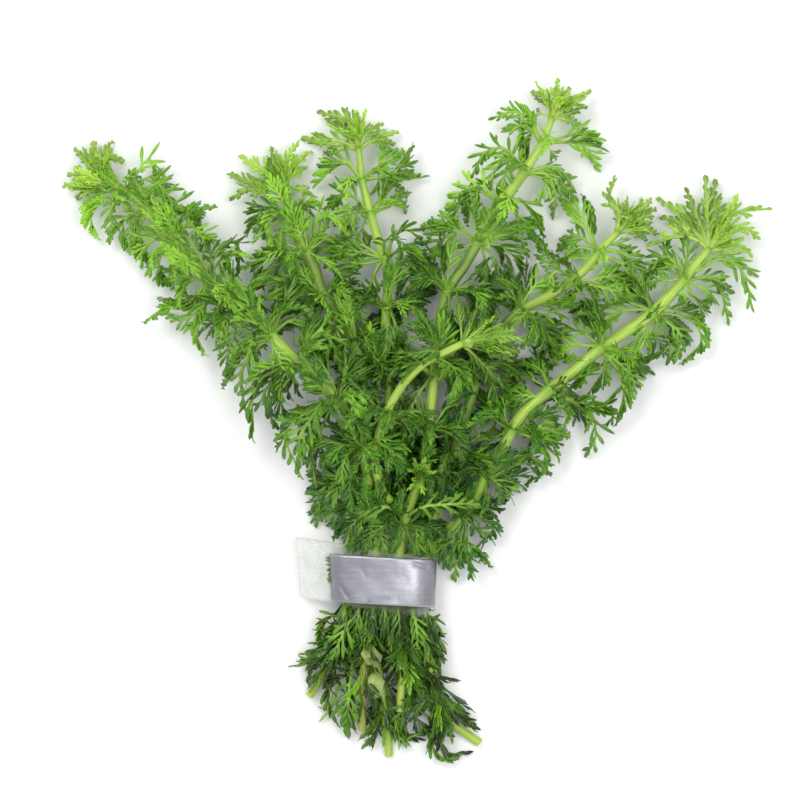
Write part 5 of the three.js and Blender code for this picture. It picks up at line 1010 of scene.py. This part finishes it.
def whorl_base(shoot, at, shift=0.0):
    """The nearest place on a shoot, seen in plan, with its radius and the direction to its tip."""
    line = shoot["line"]
    i = int(np.argmin(np.linalg.norm(line[:, :2] - np.array(at), axis=1)) + shift / STEM_STEP)
    i = min(max(i, 0), len(line) - 1)
    to_tip = unit(line[max(i - 2, 0)] - line[min(i + 2, len(line) - 1)])
    share = i / (len(line) - 1)
    return {"centre": line[i], "to_tip": to_tip, "radius": radius_at(shoot, share)}


def drawn_leaf(base, plan, seed, combed):
    """A leaf's line through plan points, arched and let down, and the directions that it faces."""
    plan = np.array(plan).reshape(-1, 2)
    height = base["centre"][2]
    low = height * within(TIP_HEIGHTS, seed)
    arch = within(ARCHES, seed + 1)
    share = (np.arange(len(plan)) + 1) / len(plan)
    rise = height + (low - height) * share**2 + arch * np.sin(math.pi * share)
    points = np.column_stack([plan, np.maximum(rise, LOWEST_LEAF)])
    outward = points[0] - base["centre"]
    outward[2] += within(START_SLOPES, seed + 3) * np.linalg.norm(outward)
    outward -= base["to_tip"] * (outward @ base["to_tip"])
    start = base["centre"] + unit(outward) * base["radius"] * 0.5
    line = smooth_line([start, *points], count=LEAF_STEPS)
    forward = unit(np.gradient(line, axis=0))
    twist = MOST_TWIST * (2 * chance(seed + 4) - 1) * np.linspace(0, 1, LEAF_STEPS)
    roll = within(ROLLS, seed + 2) + twist
    if combed:
        bend = forward[0, 0] * forward[-1, 1] - forward[0, 1] * forward[-1, 0]
        roll = roll - math.copysign(COMB_ROLL, bend)
    face = np.stack([-roll * forward[:, 1], roll * forward[:, 0], np.ones(len(line))], axis=1)
    return line, face


def grown_leaf(base, turn, length, angles, droop, sway, face_up=FACE_UP):
    """A leaf's line that leaves the stem at an angle, opens, curls back and droops."""
    to_tip = base["to_tip"]
    side = unit(np.array([-to_tip[1], to_tip[0], 0.0]))
    up = np.cross(to_tip, side)
    out = up * math.cos(turn) + side * math.sin(turn)
    beside = np.cross(to_tip, out)
    share = np.linspace(0, 1, LEAF_STEPS)[:, None]
    angle = angles[0] + (angles[1] - angles[0]) * share
    outward = out * np.cos(sway * share) + beside * np.sin(sway * share)
    steps = unit(to_tip * np.cos(angle) + outward * np.sin(angle) - UP * droop * share)
    line = base["centre"] + out * base["radius"] * 0.5 + np.cumsum(steps, axis=0) * length / LEAF_STEPS
    line[:, 2] = np.maximum(line[:, 2], LOWEST_LEAF)
    upward = UP * face_up * (1 - abs(out[2]))
    return line, to_tip * np.sin(angle) - outward * np.cos(angle) + upward


def leaf_age(column, row):
    """How aged and how shaded leaves look at a place of the bunch, from 0 for young and lit to 1 for aged
    and in painted shade.
    """
    # Darker down the rows, partly from growing older and partly as painted shade, with more painted shade in
    # the thick upper middle
    middle = math.exp(-(((column - MIDDLE_COLUMN[0]) / MIDDLE_COLUMN[1]) ** 2))
    return np.interp(row, *ROW_AGES_AND_SHADE) + middle * np.interp(row, *MIDDLE_SHADE)


def cover_count(name, row):
    """How many leaves of a whorl in a row lie along the stem of that name."""
    low, high = UNCOVERED.get(name, (0, 0))
    if row < 0 or low < row < high or row > COVERED_BELOW.get(name, 0):
        return 0
    return STEM_1_COVER_LEAVES if name == "stem_1" else COVER_LEAVES


class Whorl:
    """The leaves of one whorl. They take their chance one after another, so their order is fixed."""

    def __init__(self, shoot, whorl, seed):
        self.shoot = shoot
        self.at = whorl["at"]
        self.reach = whorl["reach"]
        self.drawn = whorl["leaves"]
        self.wild = whorl.get("wild", 0)
        self.strands = whorl.get("strands", FOOT_LEAVES)
        self.at_tip = whorl.get("place") == "tip"
        self.below_strip = self.at[1] < 0
        self.in_middle = MIDDLE_ROWS[0] < self.at[1] < MIDDLE_ROWS[1]
        self.slot = "young_leaf" if self.at_tip else "wet_leaf" if self.below_strip else "leaf"
        self.patterns = {"young_leaf": YOUNG_LEAVES, "wet_leaf": WET_LEAVES, "leaf": OLD_LEAVES}[self.slot]
        self.base = whorl_base(shoot, self.at)
        # How aged and how deep in painted shade the leaves look at this place
        self.age = leaf_age(*self.at)
        self.seed = seed
        self.random = np.random.default_rng(seed)
        self.foliage = Foliage()

    def add(self, leaf, kind, number, patterns=None, **more):
        patterns = patterns or self.patterns
        pattern = patterns[int(self.random.integers(len(patterns)))]
        age = self.age + self.random.normal(0, AGE_CHANCE)
        if self.below_strip:
            bright = self.random.uniform() < BRIGHT_FOOT_LEAVES
            age = self.random.uniform(*(BRIGHT_AGES if bright else DARK_AGES))
        self.foliage.add(*leaf, pattern, self.seed + FIRST_NUMBERS[kind] + number, age, **more)

    def is_combed(self):
        return self.random.uniform() < COMBED_LEAVES and not self.at_tip

    def grow_drawn(self):
        for i, plan in enumerate(self.drawn):
            combed = self.is_combed()
            leaf = drawn_leaf(self.base, plan, self.seed + LEAF_SEEDS * i, combed)
            self.add(leaf, "drawn", i, fold=COMB_FOLD if combed else PLAIN_FOLD)

    def grow_strands(self):
        for i in range(self.strands):
            shift = self.random.uniform(-FOOT_SPREAD, FOOT_SPREAD)
            base = whorl_base(self.shoot, self.at, shift)
            base["to_tip"] = -base["to_tip"]
            angles = np.add(STRAND_ANGLES, self.random.normal(0, STRAND_ANGLE_CHANCE))
            length = self.reach * self.random.uniform(*STRAND_LENGTHS)
            turn = self.random.normal(0, STRAND_TURN)
            sway = self.random.normal(0, SWAY)
            self.add(grown_leaf(base, turn, length, angles, STRAND_DROOP, sway), "strand", i)

    def turns_and_lengths(self):
        """The turn round the stem and the length of each wild leaf, and of those that fill the whorl."""
        around = 2 * math.pi if self.wild >= ROUND_WHORL else UPPER_SPREAD
        for i in range(self.wild):
            turn = ((i + 0.5) / self.wild - 0.5) * around
            yield turn, self.reach * within(WILD_LENGTHS, self.seed + WILD_SEEDS + i)
        wanted = MIDDLE_LEAVES if self.in_middle else OUTER_LEAVES
        more = max(0, wanted - len(self.drawn) - self.wild)
        start = self.random.uniform(0, 2 * math.pi)
        for i in range(more):
            turn = start + 2 * math.pi * i / more + self.random.normal(0, FILL_TURN)
            yield turn, self.reach * self.random.uniform(*FILL_LENGTHS)

    def grow_round(self):
        for i, (turn, length) in enumerate(self.turns_and_lengths()):
            angles = ROUND_TIP_ANGLES if self.at_tip else ROUND_ANGLES
            angles = np.add(angles, self.random.normal(0, ROUND_ANGLE_CHANCE))
            combed = self.is_combed()
            sway = self.random.normal(0, SWAY)
            face_up = 0 if combed else FACE_UP
            leaf = grown_leaf(self.base, turn, length, angles, ROUND_DROOP, sway, face_up)
            self.add(leaf, "round", i, fold=COMB_FOLD if combed else PLAIN_FOLD)

    def grow_cover(self):
        for i in range(cover_count(self.shoot["name"], self.at[1])):
            angles = BACK_ANGLES if i == BACK_LEAF and self.at[1] > BACK_ROW else COVER_ANGLES
            length = self.reach * self.random.uniform(*COVER_LENGTHS)
            sway = self.random.normal(0, COVER_SWAY)
            turn = self.random.normal(0, COVER_TURN)
            self.add(grown_leaf(self.base, turn, length, angles, COVER_DROOP, sway), "cover", i)

    def grow_under(self):
        for i in range(UNDER_LEAVES):
            turn = self.random.uniform(*UNDER_TURNS) * (1 if i % 2 else -1)
            angles = [self.random.uniform(*limits) for limits in UNDER_ANGLES]
            length = self.reach * self.random.uniform(*UNDER_LENGTHS)
            sway = self.random.normal(0, SWAY)
            leaf = grown_leaf(self.base, turn, length, angles, UNDER_DROOP, sway)
            # Their low tones are painted shade in the thick middle
            self.add(leaf, "under", i, PLAIN_LEAVES, tones=UNDER_SHADE_TONES)

    def grow_bud(self):
        for i in range(BUD_LEAVES):
            angles = np.add(BUD_ANGLES, np.multiply(BUD_OPENING, i))
            length = self.reach * self.random.uniform(*BUD_LENGTHS)
            sway = self.random.normal(0, BUD_SWAY)
            leaf = grown_leaf(self.base, BUD_TURN * i, length, angles, 0, sway)
            self.add(leaf, "bud", i, breadth=BUD_BREADTH, tones=BUD_TONES)

    def grow(self):
        self.grow_drawn()
        if self.below_strip:
            self.grow_strands()
        else:
            self.grow_round()
        self.grow_cover()
        if self.in_middle:
            self.grow_under()
        if self.at_tip:
            self.grow_bud()


def make_whorl(s, w, materials):
    """All the leaves of one whorl as one piece, for its own node or, at a joint, for its stem's."""
    shoot = SHOOTS[s]
    whorl = shoot["whorls"][w]
    grown = Whorl(shoot, whorl, SHOOT_SEEDS * s + WHORL_SEEDS * w)
    grown.grow()
    place = whorl.get("place", f"whorl_{w}")
    if place == "joint":
        name, node = f"joint_{w}_foliage_{s + 1}", shoot["name"]
    else:
        name, node = f"{place}_foliage_{s + 1}", f"{place}_leaves_{s + 1}"
    dress(grown.foliage.make(name, materials[grown.slot]), grown.slot, node)


def make_loose_leaves(row, seed, materials):
    """A few single leaves along given lines, with their upper sides up."""
    foliage = Foliage()
    patterns = LOOSE_PATTERNS[row["kind"]]
    for i, points in enumerate(row["lines"]):
        line = smooth_line(points, count=LEAF_STEPS)
        face = np.tile(UP, (LEAF_STEPS, 1)) + [LOOSE_TILT * chance(seed + i), LOOSE_TILT, 0]
        pattern = patterns[i % len(patterns)]
        foliage.add(line, face, pattern, seed + i, row["age"], breadth=row.get("breadth", 1))
    piece = foliage.make(row["name"], materials[row["kind"]])
    dress(piece, "stem" if row["kind"] == "sheath" else row["kind"], row["node"])


class Finish:
    """A material, with its nodes, its links and its main shader. Values are sockets or plain ones."""

    def __init__(self, name):
        self.material = bpy.data.materials.new(name)
        self.material.use_nodes = True
        self.nodes = self.material.node_tree.nodes
        self.links = self.material.node_tree.links
        self.shader = self.nodes["Principled BSDF"]

    def feed(self, socket, value):
        if isinstance(value, bpy.types.NodeSocket):
            self.links.new(value, socket)
        elif socket.type == "RGBA":
            socket.default_value = (*value, 1)
        else:
            socket.default_value = value

    def set(self, name, value):
        self.feed(self.shader.inputs[name], value)

    def attribute(self, name, output="Fac"):
        node = self.nodes.new("ShaderNodeAttribute")
        node.attribute_name = name
        return node.outputs[output]

    def place(self):
        return self.nodes.new("ShaderNodeTexCoord").outputs["Object"]

    def mix(self, factor, low, high):
        """A mix of two colours."""
        node = self.nodes.new("ShaderNodeMix")
        node.data_type = "RGBA"
        for number, value in ((0, factor), (6, low), (7, high)):
            self.feed(node.inputs[number], value)
        return node.outputs[2]

    def maths(self, operation, *values):
        node = self.nodes.new("ShaderNodeMath")
        node.operation = operation
        for socket, value in zip(node.inputs, values):
            self.feed(socket, value)
        return node.outputs[0]

    def spread(self, value, low, high, start=0.0, end=1.0):
        """A value from one range carried over to another and kept inside it."""
        node = self.nodes.new("ShaderNodeMapRange")
        for name, given in zip(("Value", "From Min", "From Max", "To Min", "To Max"),
                               (value, start, end, low, high)):
            self.feed(node.inputs[name], given)
        return node.outputs["Result"]

    def stretched(self, scale):
        """The piece's own coordinates, drawn out unevenly."""
        mapping = self.nodes.new("ShaderNodeMapping")
        self.feed(mapping.inputs["Scale"], scale)
        self.feed(mapping.inputs["Vector"], self.place())
        return mapping.outputs["Vector"]

    def noise(self, scale, detail=3.0, vector=None):
        node = self.nodes.new("ShaderNodeTexNoise")
        self.feed(node.inputs["Scale"], scale)
        self.feed(node.inputs["Detail"], detail)
        self.feed(node.inputs["Vector"], vector or self.place())
        return node.outputs["Fac"]

    def bump(self, height, strength, distance=FINE_BUMP):
        node = self.nodes.new("ShaderNodeBump")
        self.feed(node.inputs["Strength"], strength)
        self.feed(node.inputs["Distance"], distance)
        self.feed(node.inputs["Height"], height)
        self.set("Normal", node.outputs["Normal"])

    def let_through(self, colour, share):
        """Mixes a share of light that comes through from behind into the material."""
        through = self.nodes.new("ShaderNodeBsdfTranslucent")
        self.feed(through.inputs["Color"], colour)
        both = self.nodes.new("ShaderNodeMixShader")
        self.feed(both.inputs[0], share)
        self.feed(both.inputs[1], self.shader.outputs[0])
        self.feed(both.inputs[2], through.outputs[0])
        self.feed(self.nodes["Material Output"].inputs["Surface"], both.outputs[0])


def leaf_material(name, young, old_and_shaded, rib, glow, roughness, wet=0.2):
    """Thin moist leaf: lighter along its midribs, darker as it grows older and with painted shade deep in
    the bunch, and lit through from behind.
    """
    finish = Finish(name)
    mottle = finish.noise(260)
    fine = finish.noise(1500)
    uneven = finish.spread(mottle, -0.25, 0.25, *NOISE_RANGE)
    # This darkens leaves as they grow older, and also as painted shade where the bunch is thick
    age = finish.maths("ADD", uneven, finish.attribute("age"))
    blade = finish.mix(age, young, old_and_shaded)
    toned = finish.nodes.new("ShaderNodeHueSaturation")
    tone = finish.attribute("tone")
    finish.feed(toned.inputs["Value"], finish.spread(tone, *TONE_VALUES))
    finish.feed(toned.inputs["Hue"], finish.spread(tone, *TONE_HUES))
    finish.feed(toned.inputs["Color"], blade)
    paler = finish.maths("MULTIPLY", finish.attribute("rib"), finish.spread(age, 1, 0.45))
    colour = finish.mix(paler, toned.outputs["Color"], rib)
    finish.set("Base Color", colour)
    finish.set("Roughness", finish.spread(fine, *roughness, *NOISE_RANGE))
    finish.bump(fine, 0.25)
    finish.set("Specular IOR Level", 0.35)
    finish.set("Coat Weight", wet)
    finish.set("Coat Roughness", 0.1)
    finish.let_through(finish.mix(0.6, colour, young), glow)
    return finish.material


def stem_material():
    """Moist stem skin: yellow-green with long streaks, greener at the nodes, browner towards the cut."""
    finish = Finish("stem_skin")
    streaks = finish.noise(1.1, 4, finish.attribute("skin", "Vector"))
    patches = finish.noise(90)
    colour = STEM_COLOURS
    skin = finish.mix(finish.spread(streaks, 0, 1, *NOISE_RANGE), colour["green"], colour["streak"])
    skin = finish.mix(finish.spread(patches, 0, 0.6, 0.45, 0.75), skin, colour["aged"])
    skin = finish.mix(finish.attribute("joint"), skin, colour["node"])
    skin = finish.mix(finish.maths("MULTIPLY", finish.attribute("dull"), 0.75), skin, colour["dull"])
    patchy = finish.spread(patches, 0.5, 1, 0.35, 0.6)
    skin = finish.mix(finish.maths("MULTIPLY", finish.attribute("brown"), patchy), skin, colour["brown"])
    finish.set("Base Color", finish.mix(finish.attribute("pith"), skin, colour["pith"]))
    finish.set("Roughness", finish.spread(streaks, 0.26, 0.45))
    finish.bump(streaks, 0.35)
    finish.set("Subsurface Weight", 0.15)
    finish.set("Subsurface Radius", (0.002, 0.003, 0.001))
    finish.set("Subsurface Scale", 0.5)
    return finish.material


def strip_material():
    """Soft grey weight metal: drawn lengthwise, smudged, with worn edges lightened as a painted highlight,
    and painted shade in its dents.
    """
    finish = Finish("soft_metal")
    drawn = finish.noise(1.0, 5, finish.stretched((90, 1400, 300)))
    smudge = finish.noise(130, 4)
    pits = finish.noise(900, 2)
    colour = STRIP_COLOURS
    metal = finish.mix(finish.spread(smudge, 0, 1, 0.35, 0.7), colour["clean"], colour["smudged"])
    metal = finish.mix(finish.spread(drawn, 0, 0.45, 0.4, 0.7), metal, colour["drawn"])
    # Worn edges, lightened further as a painted highlight
    metal = finish.mix(finish.spread(finish.attribute("edge"), 0, 0.7), metal, colour["rubbed_and_highlit"])
    # Painted shade in the dents
    metal = finish.mix(finish.spread(finish.attribute("dent_shade_mask"), 0, 0.45), metal, colour["painted_dent_shade"])
    finish.set("Base Color", metal)
    finish.set("Metallic", 0.9)
    smudged = finish.spread(smudge, 0.32, 0.5, *NOISE_RANGE)
    finish.set("Roughness", finish.maths("ADD", smudged, finish.spread(pits, -0.04, 0.06)))
    finish.set("Anisotropic", 0.3)
    finish.bump(finish.maths("MULTIPLY_ADD", drawn, 0.5, pits), 0.22)
    return finish.material


def foam_material():
    """Frosted foam: thin, milky, with a fine open grain, clearer where it is soaked, and lit through."""
    finish = Finish("thin_foam")
    cells = finish.nodes.new("ShaderNodeTexVoronoi")
    finish.feed(cells.inputs["Scale"], 1600)
    finish.feed(cells.inputs["Vector"], finish.place())
    cell = cells.outputs["Distance"]
    cloudy = finish.noise(220, 4)
    clouds = finish.spread(cloudy, 0, 1, *NOISE_RANGE)
    pale = finish.mix(clouds, FOAM_COLOURS["milky"], FOAM_COLOURS["cloudy"])
    colour = finish.mix(finish.spread(cell, 0, 0.6, 0.2, 0.8), pale, FOAM_COLOURS["grain"])
    finish.set("Base Color", colour)
    finish.set("Roughness", 0.75)
    thick = finish.spread(cloudy, 0.4, 0.85, *NOISE_RANGE)
    dry = finish.spread(finish.attribute("soaked"), 1, 0.1, 0, 1.4)
    finish.set("Alpha", finish.maths("MULTIPLY", thick, dry))
    finish.bump(cell, 0.6, 0.0005)
    finish.let_through(colour, 0.25)
    return finish.material


def floor_material():
    finish = Finish("floor_white")
    finish.set("Base Color", FLOOR_COLOUR)
    finish.set("Roughness", FLOOR_ROUGHNESS)
    return finish.material


def ring_frames(line):
    """The forward, side and up directions along a line, with the side kept level."""
    forward = unit(np.gradient(line, axis=0))
    side = unit(np.stack([-forward[:, 1], forward[:, 0], np.zeros(len(line))], axis=1))
    return forward, side, np.cross(forward, side)


def tube_faces(rings, sides):
    """The wall quads of a tube and the faces that close its two ends."""
    low = np.arange(sides)
    high = np.roll(low, -1)
    start = np.arange(rings - 1)[:, None] * sides
    quads = np.stack([start + low, start + high, start + sides + high, start + sides + low], axis=-1)
    last = (rings - 1) * sides
    return [quads.reshape(-1, 4), np.array([low[::-1], last + low])]


def stem_joints(shoot):
    """How near each place of a shoot's line is to a node, from 0 to 1."""
    joint = np.zeros(len(shoot["line"]))
    for whorl in shoot["whorls"]:
        way = np.linalg.norm(shoot["line"] - whorl_base(shoot, whorl["at"])["centre"], axis=1)
        joint = np.maximum(joint, np.exp(-((way / NODE_LENGTH) ** 2)))
    return joint


def stem_colours(shoot, joint):
    """How far each ring of a stem, and of its cut, is like a node, brown, pale and dull."""
    share = np.linspace(0, 1, len(joint))
    none = np.zeros(len(CUT_RINGS))
    brown = BROWNED.get(shoot["name"], LEAST_BROWN) * np.interp(share, LOW_STEM, (0, 1))
    low, high = DULL_ROWS.get(shoot["name"], (0, 0))
    rows = shoot["line"][:, 1]
    dull = np.clip((rows - low) / DULL_FADE, 0, 1) * np.clip((high - rows) / DULL_FADE, 0, 1)
    values = {
        "joint": np.append(joint, none),
        "brown": np.append(brown, none + brown[-1]),
        "pith": np.append(np.zeros(len(joint)), [pale for _, _, pale in CUT_RINGS]),
        "dull": np.append(dull, none),
    }
    return {key: np.repeat(value, STEM_SIDES) for key, value in values.items()}


def make_stem(shoot, material):
    """A ribbed stem, thicker at its nodes, with a sunk pith where it is cut."""
    line = shoot["line"]
    share = np.linspace(0, 1, len(line))
    joint = stem_joints(shoot)
    forward, side, up = ring_frames(line)
    angle = np.arange(STEM_SIDES) / STEM_SIDES * 2 * math.pi
    ribs = 1 + RIB_DEPTH * np.cos(RIB_COUNT * angle)[None, :] * (1 - RIB_FADE * joint[:, None])
    radius = (radius_at(shoot, share) * (1 + NODE_SWELLING * joint))[:, None] * ribs
    across = side[:, None] * (radius * np.cos(angle))[..., None]
    upward = up[:, None] * (radius * np.sin(angle))[..., None]
    rings = line[:, None] + across + upward
    end = line[-1]
    cuts = [end + (rings[-1] - end) * breadth - forward[-1] * sink for breadth, sink, _ in CUT_RINGS]
    way = share[:, None] * np.linalg.norm(np.diff(line, axis=0), axis=1).sum()
    turned = (STREAKS_ROUND * np.cos(angle), STREAKS_ROUND * np.sin(angle), way * STREAKS_ALONG)
    skin = np.stack(np.broadcast_arrays(*turned), axis=-1)
    values = {"skin": np.vstack([*skin, *[skin[-1]] * len(cuts)]), **stem_colours(shoot, joint)}
    faces = tube_faces(len(line) + len(cuts), STEM_SIDES)
    piece = make_mesh(shoot["name"] + "_skin", np.vstack([*rings, *cuts]), faces, values, material)
    dress(piece, "stem", shoot["name"])


def oval(depth, angle):
    """Places on the oval of the weight strip, at a depth below its outside, flat where it lies."""
    c, s = np.cos(angle), np.sin(angle)
    x = (STRIP_HALF_WIDTH - depth) * np.sign(c) * np.abs(c) ** OVAL_POWER
    rise = (STRIP_HALF_HEIGHT - depth) * np.sign(s) * np.abs(s) ** OVAL_POWER
    return np.stack([x, np.maximum(STRIP_HALF_HEIGHT + rise, STRIP_FLAT + depth) - STRIP_FLAT], axis=1)


def pressed_marks(points):
    """How deep the marks lie under points of the strip's top, and how much painted shade each point gets."""
    depth = np.zeros(len(points))
    dent_shade = np.zeros(len(points))
    for start, end, half_width, most in STRIP_MARKS:
        start, way = np.array(start), np.subtract(end, start)
        share = np.clip((points[:, :2] - start) @ way / (way @ way), 0, 1)
        off = np.linalg.norm(points[:, :2] - start - share[:, None] * way, axis=1)
        here = np.exp(-((off / half_width) ** 2)) * (points[:, 2] > STRIP_HALF_HEIGHT)
        depth += most * here
        dent_shade = np.maximum(dent_shade, here)
    return depth, dent_shade


def wound_sheet(line, thickness, breadth, skew, waviness):
    """The points of a soft sheet that follows a line in x and z: a ring of them at each place."""
    forward = unit(np.gradient(line, axis=0))
    normal = np.stack([forward[:, 1], -forward[:, 0]], axis=1)
    edge = breadth / 2
    rows = np.linspace(SHEET_EDGE - edge, edge - SHEET_EDGE, SHEET_ROWS)
    outer = [(-edge, SHEET_EDGE_HALF), *((y, 0.5) for y in rows), (edge, SHEET_EDGE_HALF)]
    section = np.array(outer + [(y, -off) for y, off in reversed(outer)])
    y, off = section.T
    offset = thickness[:, None] * off
    x = line[:, :1] + normal[:, :1] * offset
    z = line[:, 1:] + normal[:, 1:] * offset
    y = y + skew * x
    wave = waviness * (z > STRIP_HALF_HEIGHT)
    for across, along, shift in DENT_WAVES:
        wave = wave * np.sin(across * x + along * y + shift)
    rings = np.stack([x * (1 + STRIP_FLARE * y), y, z + wave], axis=-1)
    # The edge mask shows where the strip is worn and given its painted highlight
    return rings, np.broadcast_to(np.abs(section[:, 0]) > edge - RUBBED_HIGHLIT_EDGE, x.shape)


def make_strip():
    angle = np.linspace(-math.pi + SEAM_HALF_ANGLE, math.pi - SEAM_HALF_ANGLE, STRIP_STEPS)
    line = oval(STRIP_THICKNESS / 2, angle)
    thickness = np.full(len(line), STRIP_THICKNESS)
    rings, edge = wound_sheet(line, thickness, STRIP_BREADTH, STRIP_SKEW, STRIP_WAVINESS)
    points = rings.reshape(-1, 3)
    # Depth of the dents, and the painted shade that goes with them
    depth, dent_shade = pressed_marks(points)
    points[:, 2] = np.maximum(points[:, 2] - depth, 0)
    values = {"edge": edge.ravel().astype(float), "dent_shade_mask": dent_shade}
    piece = make_mesh("soft_strip", points, tube_faces(*rings.shape[:2]), values, strip_material())
    dress(piece, "strip_metal", "weight_strip")


def make_foam():
    middle = STRIP_THICKNESS + FOAM_CLEARANCE + FOAM_THICKNESS / 2
    angle = np.linspace(-math.pi + FOAM_START_ANGLE, math.pi - FOAM_END_ANGLE, FOAM_STEPS)
    line = smooth_line([*oval(middle, angle), *FOAM_TAIL], count=2 * FOAM_STEPS)
    out = np.interp(line[:, 0], (FOAM_TAIL[1][0], FOAM_TAIL[0][0]), (1, 0))
    tail = out * (line[:, 1] > FOAM_TAIL[2][1] - 1)
    thickness = FOAM_THICKNESS + (FOAM_TAIL_THICKNESS - FOAM_THICKNESS) * tail
    rings, _ = wound_sheet(line, thickness, FOAM_BREADTH, FOAM_SKEW, FOAM_WAVINESS)
    points = rings.reshape(-1, 3)
    points[:, 2] = np.maximum(points[:, 2], 0)
    lower = np.interp(points[:, 1], *FOAM_LOWER_EDGE)
    values = {"soaked": np.interp(points[:, 0], *FOAM_SOAKED) * lower}
    piece = make_mesh("frosted_foam", points, tube_faces(*rings.shape[:2]), values, foam_material())
    dress(piece, "foam", "foam_strip")


def make_bunch():
    materials = {kind: leaf_material(**finish) for kind, finish in LEAF_FINISHES.items()}
    skin = stem_material()
    for s, shoot in enumerate(SHOOTS):
        shoot["line"] = smooth_line(shoot["route"], step=STEM_STEP)
        make_stem(shoot, skin)
        for w in range(len(shoot["whorls"])):
            make_whorl(s, w, materials)
    for i, row in enumerate(LOOSE_LEAVES):
        make_loose_leaves(row, LOOSE_SEEDS + LEAF_SEEDS * i, materials)
    make_strip()
    make_foam()


def area_light(name, place, size, power, colour):
    light = bpy.data.lights.new(name, "AREA")
    light.size = size
    light.energy = power
    light.color = colour
    lamp = bpy.data.objects.new(name, light)
    lamp.location = place
    direction = -lamp.location.normalized()
    lamp.rotation_euler = direction.to_track_quat("-Z", "Y").to_euler()
    bpy.context.scene.collection.objects.link(lamp)


def make_stage():
    bpy.ops.mesh.primitive_plane_add(size=FLOOR_SIZE, location=(0, 0, 0))
    floor = bpy.context.object
    floor.name = "floor"
    floor.data.materials.append(floor_material())
    for light in LIGHTS:
        area_light(*light)
    world = bpy.data.worlds.new("studio")
    world.use_nodes = True
    background = world.node_tree.nodes["Background"]
    background.inputs["Color"].default_value = (*ROOM_COLOUR, 1)
    background.inputs["Strength"].default_value = ROOM_LIGHT
    bpy.context.scene.world = world


def make_camera():
    camera = bpy.data.cameras.new("camera")
    camera.sensor_width = SENSOR
    width = PHOTO_SIZE * PIXEL_MM * MM
    camera.lens = SENSOR * (CAMERA_HEIGHT - SCALE_PLANE) / width
    camera.clip_end = CAMERA_REACH
    seen = bpy.data.objects.new("camera", camera)
    x = (PHOTO_SIZE / 2 - STRIP_PIXEL[0]) * PIXEL_MM - BUNCH_MIDDLE[0]
    y = (STRIP_PIXEL[1] - PHOTO_SIZE / 2) * PIXEL_MM - BUNCH_MIDDLE[1]
    seen.location = (x * MM, y * MM, CAMERA_HEIGHT)
    bpy.context.scene.collection.objects.link(seen)
    bpy.context.scene.camera = seen


make_bunch()
make_stage()
make_camera()
bpy.context.scene.view_settings.view_transform = "Standard"
